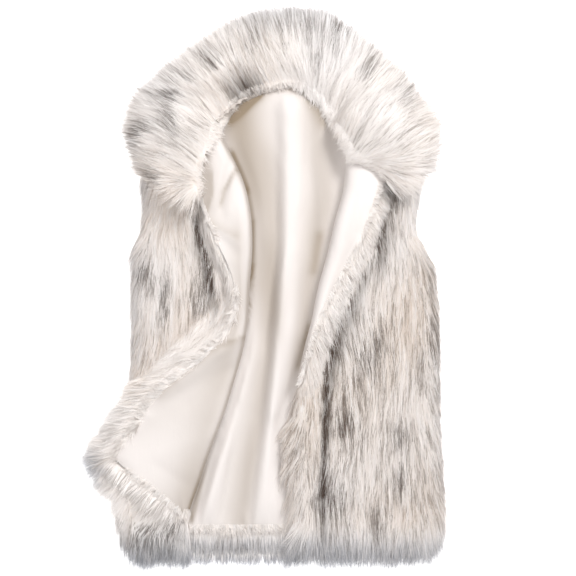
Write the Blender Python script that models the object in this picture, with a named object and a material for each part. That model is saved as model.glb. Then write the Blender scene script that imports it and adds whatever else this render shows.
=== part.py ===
"""A faux fur vest with a satin lining, lying open on its back with both fronts turned out."""

import math

import bmesh
import bpy
import numpy as np

for old in list(bpy.data.objects):
    bpy.data.objects.remove(old, do_unlink=True)

# All lengths are millimetres until a mesh is made: x to the right, y to the collar, z up from the floor
METRE = 0.001

# Thicknesses and the gaps between layers
BACK_TOP = 15.0
LINING_THICK = 1.2
SEAM_GAP = 0.3
FRONT_TOP = 34.0
FLAP_TOP = 44.0
SIDE_INSET = 10.0
LINING_INSET = 30.0

# Rows at which every body piece has its points
NECK_ROWS = (297.0, 285.0, 270.0, 253.0)
BODY_ROWS = tuple(236.0 - 21.0 * k for k in range(29))
HEM_ROWS = (-372.0, -390.0, -400.0)
FIRST_FRONT_ROW = 236.0
LAST_FLAP_ROW = -331.0
LAST_LAPEL_ROW = -143.0
LINING_HEM = -352.0

# Outline of the body, with its fur: shoulder, armhole, side seam, hem
BODY = (
    ("y", "left", "right"),
    (-404, -190, 240),
    (-379, -210, 257),
    (-353, -217, 262),
    (-310, -219, 261),
    (-252, -213, 258),
    (-194, -204, 255),
    (-136, -199, 254),
    (-78, -197, 254),
    (-20, -197, 252),
    (17, -197, 249),
    (46, -197, 242),
    (70, -191, 229),
    (94, -182, 220),
    (125, -180, 224),
    (154, -184, 229),
    (176, -182, 231),
    (198, -170, 224),
    (215, -148, 200),
    (236, -110, 160),
    (253, -82, 130),
    (270, -58, 117),
    (285, -38, 106),
    (297, -22, 92),
)

# Wearer's right front: outer border of its fringe, sewn edge of its lining, fold line
RIGHT_FRONT = (
    ("y", "fringe", "seam", "fold"),
    (-404, -168, -134, -106),
    (-353, -183, -130, -110),
    (-331, -197, -122, -113),
    (-317, -215, -132, -109),
    (-295, -235, -157, -100),
    (-273, -255, -186, -93),
    (-252, -262, -226, -86),
    (-230, -252, -212, -78),
    (-194, -229, -184, -64),
    (-157, -204, -165, -52),
    (-128, -180, -128, -44),
    (-99, -154, -90, -35),
    (-70, -125, -61, -29),
    (-41, -88, -47, -26),
    (-12, -72, -44, -25),
    (17, -75, -49, -23),
    (46, -84, -62, -20),
    (75, -93, -77, -20),
    (104, -104, -88, -22),
    (128, -112, -97, -26),
    (154, -118, -104, -33),
    (186, -120, -106, -48),
    (215, -112, -100, -64),
    (236, -104, -94, -74),
    (270, -90, -80, -50),
    (297, -60, -40, 0),
)

# Wearer's left front: turned edge, sewn edge of its lining, outer border of its fringe
LEFT_FRONT = (
    ("y", "fold", "seam", "fringe"),
    (-404, 25, 50, 80),
    (-368, 30, 54, 81),
    (-339, 39, 62, 80),
    (-295, 35, 60, 77),
    (-252, 30, 56, 75),
    (-208, 29, 52, 75),
    (-165, 39, 50, 78),
    (-136, 46, 53, 86),
    (-107, 52, 60, 94),
    (-78, 59, 68, 104),
    (-49, 67, 79, 116),
    (-20, 72, 92, 126),
    (9, 78, 107, 139),
    (38, 87, 123, 155),
    (67, 94, 139, 167),
    (96, 100, 150, 176),
    (125, 109, 161, 188),
    (146, 114, 167, 197),
    (166, 115, 170, 200),
    (191, 117, 166, 194),
    (215, 120, 154, 172),
    (236, 121, 140, 150),
    (270, 110, 118, 128),
    (297, 66, 90, 100),
)

# Collar: neck seam point, outer edge point, how high its roll stands
COLLAR = (
    ("seam_x", "seam_y", "edge_x", "edge_y", "roll"),
    (-91, 118, -184, 163, 0.85),
    (-99, 154, -195, 205, 1.00),
    (-88, 186, -200, 249, 1.00),
    (-71, 224, -181, 285, 1.00),
    (-56, 253, -144, 317, 0.90),
    (-38, 273, -101, 352, 0.60),
    (-8, 287, -54, 380, 0.85),
    (28, 295, -6, 397, 1.00),
    (57, 297, 46, 402, 1.00),
    (80, 291, 95, 393, 1.00),
    (99, 268, 138, 362, 1.05),
    (116, 236, 181, 325, 1.10),
    (134, 205, 221, 281, 1.10),
    (151, 179, 247, 238, 1.05),
    (170, 154, 250, 198, 0.95),
    (182, 141, 243, 167, 0.70),
)
COLLAR_STATIONS = 31
COLLAR_REACH = 17.0

# Across the collar: share of its width, thickness of its under side, thickness of its upper side
COLLAR_SECTION = (
    ("share", "under", "upper"),
    (0.00, 3.0, 4.0),
    (0.12, 8.0, 13.0),
    (0.30, 12.0, 20.0),
    (0.50, 13.0, 22.0),
    (0.70, 12.0, 19.0),
    (0.88, 8.0, 12.0),
    (1.00, 3.5, 3.5),
)

# Folds of the back's lining: top end, bottom end, height, width to the left, width to the right
BACK_FOLDS = (
    ("x0", "y0", "x1", "y1", "height", "left", "right"),
    (30, 276, 29, 53, 10.0, 10, 22),
    (29, 53, 6, -194, 12.0, 9, 24),
    (6, -194, -10, -330, 9.0, 9, 20),
    (-24, -92, -84, -325, 9.0, 16, 12),
    (78, 250, 92, 125, 3.0, 14, 12),
    (92, 125, 62, -40, 3.0, 12, 12),
    (-28, 215, 2, 60, 3.0, 16, 16),
    (24, -170, 16, -325, 6.0, 8, 10),
)

# Soft folds of the turned right front: ends, height, width
FLAP_FOLDS = (
    ("x0", "y0", "x1", "y1", "height", "width"),
    (-88, 205, -97, 120, -3.0, 9),
    (-74, 172, -83, 96, 3.0, 9),
    (-30, -70, -150, -135, 4.5, 13),
    (-52, -190, -160, -300, 3.0, 20),
    (-62, -130, -190, -225, -2.5, 16),
    (-40, 60, -52, -30, 2.5, 14),
)
LAPEL_FOLDS = (
    ("x0", "y0", "x1", "y1", "height", "width"),
    (150, 175, 118, 60, 3.0, 12),
    (120, 50, 92, -30, -2.5, 8),
)

LOCK_HEIGHT = 1.5
HEM_TUFT = 4.0


def column(table, name):
    """One named column of a table, as an array."""
    place = table[0].index(name)
    return np.array([row[place] for row in table[1:]], float)


def curve_through(known, values, wanted):
    """A smooth curve through the known points, read at the wanted places."""
    wanted = np.clip(np.asarray(wanted, float), known[0], known[-1])
    slope = np.gradient(values, known)
    left = np.clip(np.searchsorted(known, wanted) - 1, 0, len(known) - 2)
    width = known[left + 1] - known[left]
    t = (wanted - known[left]) / width
    start = (1 + 2 * t) * (1 - t) ** 2 * values[left]
    start += t * (1 - t) ** 2 * width * slope[left]
    end = t**2 * (3 - 2 * t) * values[left + 1]
    end += t**2 * (t - 1) * width * slope[left + 1]
    return start + end


def at_rows(table, name, rows):
    return curve_through(column(table, "y"), column(table, name), rows)


def ease(value):
    """0 below 0, 1 above 1, and an even slope between them."""
    value = np.clip(value, 0.0, 1.0)
    return value * value * (3 - 2 * value)


def along_segment(x, y, x0, y0, x1, y1):
    """Distance to the right of a segment, and how far past its ends the point is."""
    length = math.hypot(x1 - x0, y1 - y0)
    ux, uy = (x1 - x0) / length, (y1 - y0) / length
    run = (x - x0) * ux + (y - y0) * uy
    aside = -(x - x0) * uy + (y - y0) * ux
    return aside, np.maximum(np.maximum(-run, run - length), 0.0)


def soft_folds(x, y, table):
    """Height that the rounded folds of a table add at each point."""
    total = np.zeros_like(x)
    for x0, y0, x1, y1, height, width in table[1:]:
        aside, past = along_segment(x, y, x0, y0, x1, y1)
        total += height * np.exp(-(aside**2 + past**2) / width**2)
    return total


def lining_folds(x, y, left, right):
    """Height of the back's folds, flat where a front lies on them."""
    total = np.zeros_like(x)
    for x0, y0, x1, y1, height, wide_left, wide_right in BACK_FOLDS[1:]:
        aside, past = along_segment(x, y, x0, y0, x1, y1)
        width = np.where(aside > 0, wide_right, wide_left)
        total = np.maximum(total, height * np.exp(-((aside / width) ** 2) - (past / 18) ** 2))
    open_part = ease((x - left - 3) / 22) * ease((right - 3 - x) / 22)
    return total * open_part * ease((286 - y) / 30) * (0.35 + 0.65 * ease((y + 352) / 40))


def hem_scale(y):
    """How much of its thickness a layer keeps towards the hem."""
    return np.interp(y, (-400.0, -390.0, -372.0, -352.0), (0.30, 0.58, 0.86, 1.0))


def back_height(y):
    return BACK_TOP * hem_scale(y) * np.interp(y, (270.0, 285.0, 297.0), (1.0, 0.93, 0.7))


def tufts(count, seed_turn):
    """Uneven steps for a fringe, one for each point of it."""
    k = np.arange(count)
    return np.sin(2.5 * k + seed_turn) * 0.6 + np.sin(4.1 * k + 2 * seed_turn) * 0.4


def material(name, hex_colour, roughness):
    """A plain material whose colour is given as sRGB."""
    made = bpy.data.materials.new(name)
    made.use_nodes = True
    shader = made.node_tree.nodes["Principled BSDF"]
    channels = [int(hex_colour[k : k + 2], 16) / 255 for k in (0, 2, 4)]
    linear = [c / 12.92 if c <= 0.04045 else ((c + 0.055) / 1.055) ** 2.4 for c in channels]
    shader.inputs["Base Color"].default_value = (*linear, 1.0)
    shader.inputs["Roughness"].default_value = roughness
    return made


def add_object(name, points, faces, look):
    """One closed mesh as an object, its faces turned outwards."""
    mesh = bpy.data.meshes.new(name)
    mesh.from_pydata((np.asarray(points) * METRE).tolist(), [], faces)
    work = bmesh.new()
    work.from_mesh(mesh)
    bmesh.ops.triangulate(work, faces=[f for f in work.faces if len(f.verts) > 3])
    bmesh.ops.recalc_face_normals(work, faces=work.faces)
    work.to_mesh(mesh)
    work.free()
    mesh.materials.append(look)
    obj = bpy.data.objects.new(name, mesh)
    bpy.context.scene.collection.objects.link(obj)
    return obj


def grid_faces(rows, columns, start, closed):
    """Triangles of a grid of points, joined round its columns where it is closed."""
    faces = []
    for i in range(rows - 1):
        for j in range(columns if closed else columns - 1):
            a = start + i * columns + j
            b = start + i * columns + (j + 1) % columns
            faces += [(a, b, b + columns), (a, b + columns, a + columns)]
    return faces


def loft(name, rings, look):
    """A solid through closed rings that have the same number of points."""
    rows, count = rings.shape[:2]
    faces = grid_faces(rows, count, 0, True)
    faces.append(tuple(range(count))[::-1])
    faces.append(tuple(range((rows - 1) * count, rows * count)))
    return add_object(name, rings.reshape(-1, 3), faces, look)


def slab(name, upper, lower, look):
    """A solid between two grids of points that have the same rows and columns."""
    rows, count = upper.shape[:2]
    size = rows * count
    faces = grid_faces(rows, count, 0, False)
    faces += [face[::-1] for face in grid_faces(rows, count, size, False)]
    rim = [j for j in range(count)]
    rim += [i * count + count - 1 for i in range(1, rows)]
    rim += [(rows - 1) * count + j for j in range(count - 2, -1, -1)]
    rim += [i * count for i in range(rows - 2, 0, -1)]
    for k, here in enumerate(rim):
        after = rim[(k + 1) % len(rim)]
        faces += [(here, here + size, after + size), (here, after + size, after)]
    return add_object(name, np.concatenate([upper.reshape(-1, 3), lower.reshape(-1, 3)]), faces, look)


def moved_out(grid, distance, sign):
    """A grid of points moved along its own normals, to the side that sign names."""
    down = np.gradient(grid, axis=0)
    across = np.gradient(grid, axis=1)
    normal = np.cross(across, down)
    normal /= np.maximum(np.linalg.norm(normal, axis=2, keepdims=True), 1e-9)
    return grid + sign * distance * normal


def spread(start, end, count):
    """Evenly spaced values for each row, from start to end with both left out."""
    share = np.arange(1, count + 1) / (count + 1)
    return start[:, None] + (end - start)[:, None] * share[None, :]


# Back: one panel of fur fabric with its flat side on the floor, and its satin lining
back_rows = np.array(NECK_ROWS + BODY_ROWS + HEM_ROWS)
body_left = at_rows(BODY, "left", back_rows)
body_right = at_rows(BODY, "right", back_rows)
opening_left = at_rows(RIGHT_FRONT, "fold", back_rows)
opening_right = at_rows(LEFT_FRONT, "fold", back_rows)
panel_left = body_left + SIDE_INSET
panel_right = body_right - SIDE_INSET
opening_left = np.maximum(opening_left, panel_left + 12)
opening_right = np.minimum(opening_right, panel_right - 12)
lining_left = np.minimum(body_left + LINING_INSET, opening_left - 8)
lining_right = np.maximum(body_right - LINING_INSET, opening_right + 8)

inner = spread(opening_left + 2, opening_right - 2, 13)
back_x = np.column_stack(
    [
        panel_left,
        lining_left,
        opening_left - 2,
        inner,
        opening_right + 2,
        lining_right,
        panel_right,
    ]
)
back_y = np.repeat(back_rows[:, None], back_x.shape[1], axis=1)
back_z = np.repeat(back_height(back_rows)[:, None], back_x.shape[1], axis=1)
back_z += lining_folds(back_x, back_y, opening_left[:, None], opening_right[:, None])
back_top = np.stack([back_x, back_y, back_z], axis=2)
back_top[-1, :, 1] += HEM_TUFT * tufts(back_x.shape[1], 1.0)

floor_share = np.array([1.0, 0.7, 0.3, 0.0])
floor_x = panel_left[:, None] + (panel_right - panel_left)[:, None] * floor_share[None, :]
back_floor = np.stack([floor_x, np.repeat(back_rows[:, None], 4, axis=1), 0 * floor_x], axis=2)
back_floor[-1, :, 1] += 3.0

satin = material("back lining satin", "FBF8F4", 0.45)
fur_back = material("back fur fabric", "EFE8E1", 0.9)
loft("back_shell", np.concatenate([back_top, back_floor], axis=1), fur_back)

lining_rows = back_rows >= LINING_HEM
lining_grid = back_top[lining_rows][:, 1:-1]
lining_base = lining_grid + np.array([0.0, 0.0, SEAM_GAP])
lining_over = lining_grid + np.array([0.0, 0.0, SEAM_GAP + LINING_THICK])
slab("back_lining", lining_over, lining_base, satin)


def front(side, table, field_columns, flap_columns, rise, folds, valley, tuft_turn):
    """Rings of a front panel whose edge is turned out over itself, and the columns its lining covers.

    side is 1 for the panel on the left and -1 for the one on the right, which is worked out mirrored.
    """
    rows = np.array([y for y in back_rows if y <= FIRST_FRONT_ROW])
    body = at_rows(BODY, "left" if side > 0 else "right", rows) * side
    fringe = at_rows(table, "fringe", rows) * side
    seam = at_rows(table, "seam", rows) * side
    fold = at_rows(table, "fold", rows) * side
    out = np.minimum(body, fringe)
    first = out + 16
    last = np.maximum(fringe - 4, first + 1.5 * (field_columns + 1))
    foot = np.maximum(fringe, last + 1.5)
    seam = np.maximum(seam, foot + 5)
    depth = np.minimum(14.0, 0.5 * (fold - seam))
    x = np.column_stack(
        [
            out,
            out + 5,
            first,
            spread(first, last, field_columns),
            foot,
            foot + 0.35 * (seam - foot),
            foot + 0.75 * (seam - foot),
            seam,
            spread(seam, fold - depth, flap_columns),
            fold - depth,
            fold - 0.3 * depth,
        ]
    )
    count = x.shape[1]
    y = np.repeat(rows[:, None], count, axis=1)
    keep = hem_scale(y)
    turned = rise(y) * ease((x - fringe[:, None]) / (seam - fringe)[:, None])
    droop = 14.0 * ease((body[:, None] + 10 - x) / 50)
    target = FRONT_TOP * keep + turned * keep - droop
    edge = 1 - (1 - np.clip((x - out[:, None]) / 20, 0, 1)) ** 2.5
    rim = 12.0 * keep
    z = rim + (target - rim) * edge
    step_down = ease((x - fold[:, None] + depth[:, None]) / depth[:, None])
    z -= 5.0 * step_down * keep
    index = np.arange(count)[None, :]
    row = np.arange(len(rows))[:, None]
    locks = np.sin(2.4 * index + 1.1 * np.sin(0.55 * row + 0.7 * index) + tuft_turn)
    on_fur = ease((x - out[:, None]) / 12) * (1 - ease((x - foot[:, None]) / (seam - foot)[:, None]))
    z += LOCK_HEIGHT * locks * on_fur * keep
    z -= valley(y) * np.exp(-(((x - foot[:, None] + 4) / 9) ** 2))
    z += soft_folds(x * side, y, folds) * ease((x - foot[:, None]) / 10) * keep * (x < fold[:, None] - 2)
    under_lining = BACK_TOP + SEAM_GAP + LINING_THICK + SEAM_GAP
    on_back = back_height(rows) + SEAM_GAP + 0.1 + 1.6 * (rows < -395)
    base = np.where(rows >= LINING_HEM, under_lining, on_back)
    crown = z[:, -1]
    nose_x = np.column_stack([fold, fold - 3, fold - 12])
    nose_z = np.column_stack([base + 0.5 * (crown - base), base + 0.18 * (crown - base), base + 0.4])
    rest_in = np.minimum(body + LINING_INSET + 2, fold - 16)
    rest_out = np.minimum(body + 20, rest_in - 4)
    wall = np.minimum(body + SIDE_INSET - 0.6, rest_out - 1)
    under_x = np.column_stack([0.5 * (fold - 12 + rest_in), rest_in, rest_out, wall, wall, out + 6])
    floor = 0 * rows
    under_z = np.column_stack([base, base, on_back, on_back, floor, floor])
    ring_x = np.concatenate([x, nose_x, under_x], axis=1)
    ring_z = np.concatenate([z, nose_z, under_z], axis=1)
    ring_y = np.repeat(rows[:, None], ring_x.shape[1], axis=1)
    ring_y[-1, :count] += HEM_TUFT * tufts(count, tuft_turn)
    rings = np.stack([ring_x * side, ring_y, ring_z], axis=2)
    return rows, rings, slice(3 + field_columns + 3, count + 2), count + 1


def flap_rise(y):
    """How far the turned right front stands above the layer under it."""
    return (FLAP_TOP - FRONT_TOP) * ease((y + 350) / 30)


def lapel_rise(y):
    """The turned lapel stands full height, the rolled strip under it less."""
    return 6.0 + (FLAP_TOP - FRONT_TOP - 6.0) * ease((y + 180) / 60)


def no_valley(y):
    return 0 * y


def strip_valley(y):
    """The furrow beside the rolled strip."""
    return 5.0 * ease((-120 - y) / 50) * ease((y + 395) / 40)


right_rows, right_rings, right_cover, right_tops = front(
    1, RIGHT_FRONT, 7, 6, flap_rise, FLAP_FOLDS, no_valley, 0.4
)
left_rows, left_rings, left_cover, left_tops = front(
    -1, LEFT_FRONT, 11, 3, lapel_rise, LAPEL_FOLDS, strip_valley, 2.1
)
loft("right_front_shell", right_rings, material("right front fur fabric", "EDE5DD", 0.9))
loft("left_front_shell", left_rings, material("left front fur fabric", "ECE4DC", 0.9))

right_grid = right_rings[right_rows >= LAST_FLAP_ROW][:, right_cover]
left_grid = left_rings[left_rows >= LAST_LAPEL_ROW][:, left_cover]
slab(
    "right_front_lining",
    moved_out(right_grid, SEAM_GAP + LINING_THICK, -1),
    moved_out(right_grid, SEAM_GAP, -1),
    material("right front lining satin", "FCFAF7", 0.45),
)
slab(
    "left_front_lining",
    moved_out(left_grid, SEAM_GAP + LINING_THICK, 1),
    moved_out(left_grid, SEAM_GAP, 1),
    material("left front lining satin", "FAF6F1", 0.45),
)


def height_under(x, y):
    """Top of whatever lies under a point of the collar, 0 on the bare floor."""
    found = 0.0
    if back_rows[-1] <= y <= back_rows[0]:
        left = np.interp(y, back_rows[::-1], panel_left[::-1])
        right = np.interp(y, back_rows[::-1], panel_right[::-1])
        if left <= x <= right:
            found = BACK_TOP + SEAM_GAP + LINING_THICK
    for side, rows, rings, tops, cover in (
        (1, right_rows, right_rings, right_tops, right_cover),
        (-1, left_rows, left_rings, left_tops, left_cover),
    ):
        if not rows[-1] <= y <= rows[0]:
            continue
        near = np.searchsorted(-rows, -y)
        for i in {max(near - 1, 0), min(near, len(rows) - 1)}:
            across = rings[i, :tops, 0] * side
            if across[0] <= x * side <= across[-1]:
                height = np.interp(x * side, across, rings[i, :tops, 2])
                on_lining = x * side >= across[cover.start]
                found = max(found, height + (SEAM_GAP + LINING_THICK) * on_lining)
    return found


def highest_near(x, y, reach):
    """Highest thing within reach of a point, so that nothing pokes through between two points."""
    turns = np.arange(8) * math.pi / 4
    best = height_under(x, y)
    for part in (0.5, 1.0):
        for turn in turns:
            best = max(best, height_under(x + part * reach * math.cos(turn), y + part * reach * math.sin(turn)))
    return best


# Collar: its under side lies on the body and the floor, its upper side lies on that
known = np.arange(len(COLLAR) - 1, dtype=float)
station = np.linspace(0, known[-1], COLLAR_STATIONS)
seam_x = curve_through(known, column(COLLAR, "seam_x"), station)
seam_y = curve_through(known, column(COLLAR, "seam_y"), station)
edge_x = curve_through(known, column(COLLAR, "edge_x"), station)
edge_y = curve_through(known, column(COLLAR, "edge_y"), station)
roll = curve_through(known, column(COLLAR, "roll"), station)
tuft = 1 + 0.02 * tufts(COLLAR_STATIONS, 0.7)
share = column(COLLAR_SECTION, "share")
collar_x = seam_x[:, None] + (edge_x - seam_x)[:, None] * share[None, :] * tuft[:, None]
collar_y = seam_y[:, None] + (edge_y - seam_y)[:, None] * share[None, :] * tuft[:, None]
collar_base = np.array(
    [
        [highest_near(px, py, COLLAR_REACH) for px, py in zip(row_x, row_y)]
        for row_x, row_y in zip(collar_x, collar_y)
    ]
)
collar_base = np.where(collar_base > 0, collar_base + 0.6, 0.0)
under_top = collar_base + column(COLLAR_SECTION, "under")[None, :]
for _ in range(2):
    padded = np.pad(under_top, 1, mode="edge")
    around = padded[:-2, 1:-1] + padded[2:, 1:-1] + padded[1:-1, :-2] + padded[1:-1, 2:]
    under_top = np.maximum(0.5 * under_top + 0.125 * around, collar_base + 3.0)
upper_top = under_top + SEAM_GAP + column(COLLAR_SECTION, "upper")[None, :] * roll[:, None]
under_lower = np.stack([collar_x, collar_y, collar_base], axis=2)
under_upper = np.stack([collar_x, collar_y, under_top], axis=2)
upper_lower = np.stack([collar_x, collar_y, under_top + SEAM_GAP], axis=2)
upper_upper = np.stack([collar_x, collar_y, upper_top], axis=2)
slab("under_collar", under_upper, under_lower, material("under collar fur fabric", "EEE7E0", 0.9))
slab("upper_collar", upper_upper, upper_lower, material("upper collar fur fabric", "F1EAE3", 0.9))

# The whole vest is moved so that its box stands centred on the origin
made = [obj for obj in bpy.context.scene.objects if obj.type == "MESH"]
corners = np.array([vertex.co[:] for obj in made for vertex in obj.data.vertices])
middle = (corners.min(axis=0) + corners.max(axis=0)) / 2
for obj in made:
    for vertex in obj.data.vertices:
        vertex.co.x -= middle[0]
        vertex.co.y -= middle[1]
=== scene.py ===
"""A faux fur vest laid open on a pale floor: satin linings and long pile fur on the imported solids."""

import math
from functools import partial

import bmesh
import bpy
import numpy as np
from mathutils.bvhtree import BVHTree
from mathutils.kdtree import KDTree
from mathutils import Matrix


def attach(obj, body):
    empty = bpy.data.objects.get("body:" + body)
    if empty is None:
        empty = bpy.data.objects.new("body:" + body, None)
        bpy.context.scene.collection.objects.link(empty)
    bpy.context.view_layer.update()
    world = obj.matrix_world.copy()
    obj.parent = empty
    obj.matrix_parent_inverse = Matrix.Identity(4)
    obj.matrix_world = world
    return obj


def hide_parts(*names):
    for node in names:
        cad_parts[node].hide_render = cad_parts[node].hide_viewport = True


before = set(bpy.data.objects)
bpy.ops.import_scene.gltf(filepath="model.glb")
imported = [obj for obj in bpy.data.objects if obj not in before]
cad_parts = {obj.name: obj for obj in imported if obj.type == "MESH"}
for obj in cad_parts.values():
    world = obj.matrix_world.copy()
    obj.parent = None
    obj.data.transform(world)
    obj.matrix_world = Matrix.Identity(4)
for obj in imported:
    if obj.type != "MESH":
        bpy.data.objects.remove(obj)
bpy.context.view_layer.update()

MM = 0.001
SHELLS = ("back_shell", "right_front_shell", "left_front_shell", "under_collar", "upper_collar")
LININGS = ("back_lining", "right_front_lining", "left_front_lining")

# How far the backing is drawn in and the collar moved in, metres
EDGE_INSET = 0.003
PILE_INSET = 0.006
SEAM_REACH = 0.022
UNDER_LINING = 0.009
COLLAR_SPREAD = 0.021
SHOULDER_REACH = 0.035
SAME_PLACE = 0.00002

# Where pile grows and how far it reaches, metres
RIM_PROBE = 0.012
RIM_REACH = 0.020
FLUFF_REACH = 0.012
FLUFF_ROOM = 0.012
EDGE_PILE_REACH = 0.003
EDGE_COOL = 0.022
OVERHANG = 0.016
TOP_PROBE = 0.020
COLLAR_PROBE = 0.011
UNDER_COLLAR_PROBE = 0.003
SIDE_PROBE = 0.004
OFF_SURFACE = 0.0005

# How strands lie and how much shorter they may be, as shares
RIM_TURN = 0.42
TIP_SHARE = 0.6
FLUFF_DROOP = 0.35
SHORTEST_SHARE = 0.35
SHORTEST_ON_BAND = 0.25
SHORTER_IN_SHADE = 0.45
FLUFF_SHORTER_IN_SHADE = 0.4
FLUFF_DARK = 0.3

# Strands per square metre of the short pile along the seams
EDGE_DENSITY = 2200000.0

# How far creases, puckers and tones of the linings fade, millimetres and shares of a width
CREASE_END = 1.6
PUCKER_WIDTH = 3.2
PUCKER_SPREAD = 0.12
PUCKER_START = 8
TONE_FADE = 26.0
THIN_TONE_FADE = 8.0

# Rounds of smoothing that tell the linings' folds and hollows from their main form
FOLD_ROUNDS = 400
CREASE_ROUNDS = 12
HOLLOW_ROUNDS = 900
TONE_ROUNDS = 40

# Depth of the linings' hollows in metres, and the shade in them and on their far sides
HOLLOW_DEPTH = 0.010
HOLLOW_SHADE = 0.10
FAR_SIDE_SHADE = 0.40

# The facing of the neck seam: its reach to both sides, its arch and thickness in metres, and its collar lines
FACING_IN = 0.006
FACING_OUT = 0.007
FACING_ARCH = (0, 0, 0.001)
FACING_THICKNESS = 0.0006
NAPE_LINES = slice(3, 13)

# Probes of the solids' forms, metres: height to look down from, gap that counts as covered, thinnest wall
LOOK_DOWN = 0.2
COVERED_GAP = 0.002
WALL_START = 0.001
THIN_WALL = 0.003

# Light through the pile and from the lamps, floor and air, then the camera
THROUGH_FIBRE = 0.45
FLOOR_GLOW = 0.70
KEY_POWER = 48.0
FILL_POWER = 26.0
AIR_STRENGTH = 0.60
LENS = 130.0
SENSOR = 36.0
FRAME_SIDE = 0.8352
CLOTH_HEIGHT = 0.030

# Node kinds and settings that the trees use often
MATH, VECTOR_MATH, MIX, BUMP = "ShaderNodeMath", "ShaderNodeVectorMath", "ShaderNodeMix", "ShaderNodeBump"
NOISE, MAP_RANGE, RANDOM = "ShaderNodeTexNoise", "ShaderNodeMapRange", "FunctionNodeRandomValue"
NAMED, STORED = "GeometryNodeInputNamedAttribute", "GeometryNodeStoreNamedAttribute"
SCATTER, SAMPLE = "GeometryNodeDistributePointsOnFaces", "GeometryNodeSampleIndex"
TIMES, PLUS, MINUS = {"operation": "MULTIPLY"}, {"operation": "ADD"}, {"operation": "SUBTRACT"}
TIMES_PLUS, DIVIDED, SCALED = {"operation": "MULTIPLY_ADD"}, {"operation": "DIVIDE"}, {"operation": "SCALE"}
COLOURS, NUMBERS, VECTORS = {"data_type": "RGBA"}, {"data_type": "FLOAT"}, {"data_type": "FLOAT_VECTOR"}
SMOOTH_STEP, ABOUT_AXIS = {"interpolation_type": "SMOOTHSTEP"}, {"rotation_type": "AXIS_ANGLE"}

# Columns of the tables of tones and of creases
TONES = ("x0", "y0", "x1", "y1", "strength", "left", "right")
CREASES = ("x0", "y0", "x1", "y1", "height", "width")

# Turned right front, millimetres: outer border of its fur fringe and sewn edge of its lining
RIGHT_BAND = (
    ("y", "fringe", "seam"),
    (-353, -183, -130),
    (-331, -197, -122),
    (-295, -235, -157),
    (-252, -262, -226),
    (-194, -229, -184),
    (-128, -180, -128),
    (-70, -134, -64),
    (-52, -118, -56),
    (-34, -90, -50),
    (-12, -68, -46),
    (20, -75, -54),
    (46, -83, -66),
    (83, -96, -82),
    (104, -100, -88),
    (154, -118, -104),
    (236, -104, -94),
)

# Turned left front, millimetres: the same borders
LEFT_BAND = (
    ("y", "seam", "fringe"),
    (-404, 50, 74),
    (-295, 60, 71),
    (-208, 52, 69),
    (-136, 53, 79),
    (-78, 68, 95),
    (-20, 92, 117),
    (38, 123, 146),
    (96, 150, 168),
    (146, 167, 188),
    (191, 166, 186),
    (236, 140, 150),
)

# Which way the pile of the turned bands lies at each height, millimetres
RIGHT_WAYS = (
    ("y", "way_x", "way_y"),
    (-330, -0.45, -0.90),
    (-262, -0.75, -0.80),
    (-235, -0.95, -0.20),
    (-150, -0.92, -0.20),
    (-90, -0.88, -0.45),
    (-40, -0.25, -0.95),
    (0, 0.20, -0.97),
    (120, 0.35, -0.94),
)
LEFT_WAYS = (
    ("y", "way_x", "way_y"),
    (-400, -0.25, -0.90),
    (-200, -0.30, -0.85),
    (-130, -0.15, -0.95),
    (-80, 0.45, -0.90),
    (40, 0.55, -0.80),
    (150, 0.70, -0.70),
)
RIGHT_END_WAY = np.array([-0.45, -0.90])
LEFT_END_WAY = np.array([0.50, -0.87])

# Turned bands, millimetres: table, how far their pile passes an inner fringe and above which height
# the fringe is an inner one, and between which heights they are white
BANDS = {
    "right_front_shell": (RIGHT_BAND, 6, -115, -350, 95),
    "left_front_shell": (LEFT_BAND, 9, -170, -170, 240),
}

# Lines from the neck seam to the collar's outer edge, along which its pile lies, millimetres
COLLAR_LINES = (
    ("seam_x", "seam_y", "edge_x", "edge_y"),
    (-91, 118, -184, 150),
    (-99, 154, -195, 195),
    (-88, 186, -200, 246),
    (-71, 224, -181, 285),
    (-56, 253, -144, 317),
    (-38, 273, -101, 352),
    (-8, 287, -54, 380),
    (28, 295, -6, 397),
    (57, 297, 46, 402),
    (80, 291, 95, 393),
    (99, 268, 138, 362),
    (116, 236, 181, 325),
    (134, 205, 221, 281),
    (151, 179, 247, 238),
    (170, 154, 250, 188),
    (182, 141, 243, 150),
)

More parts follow.
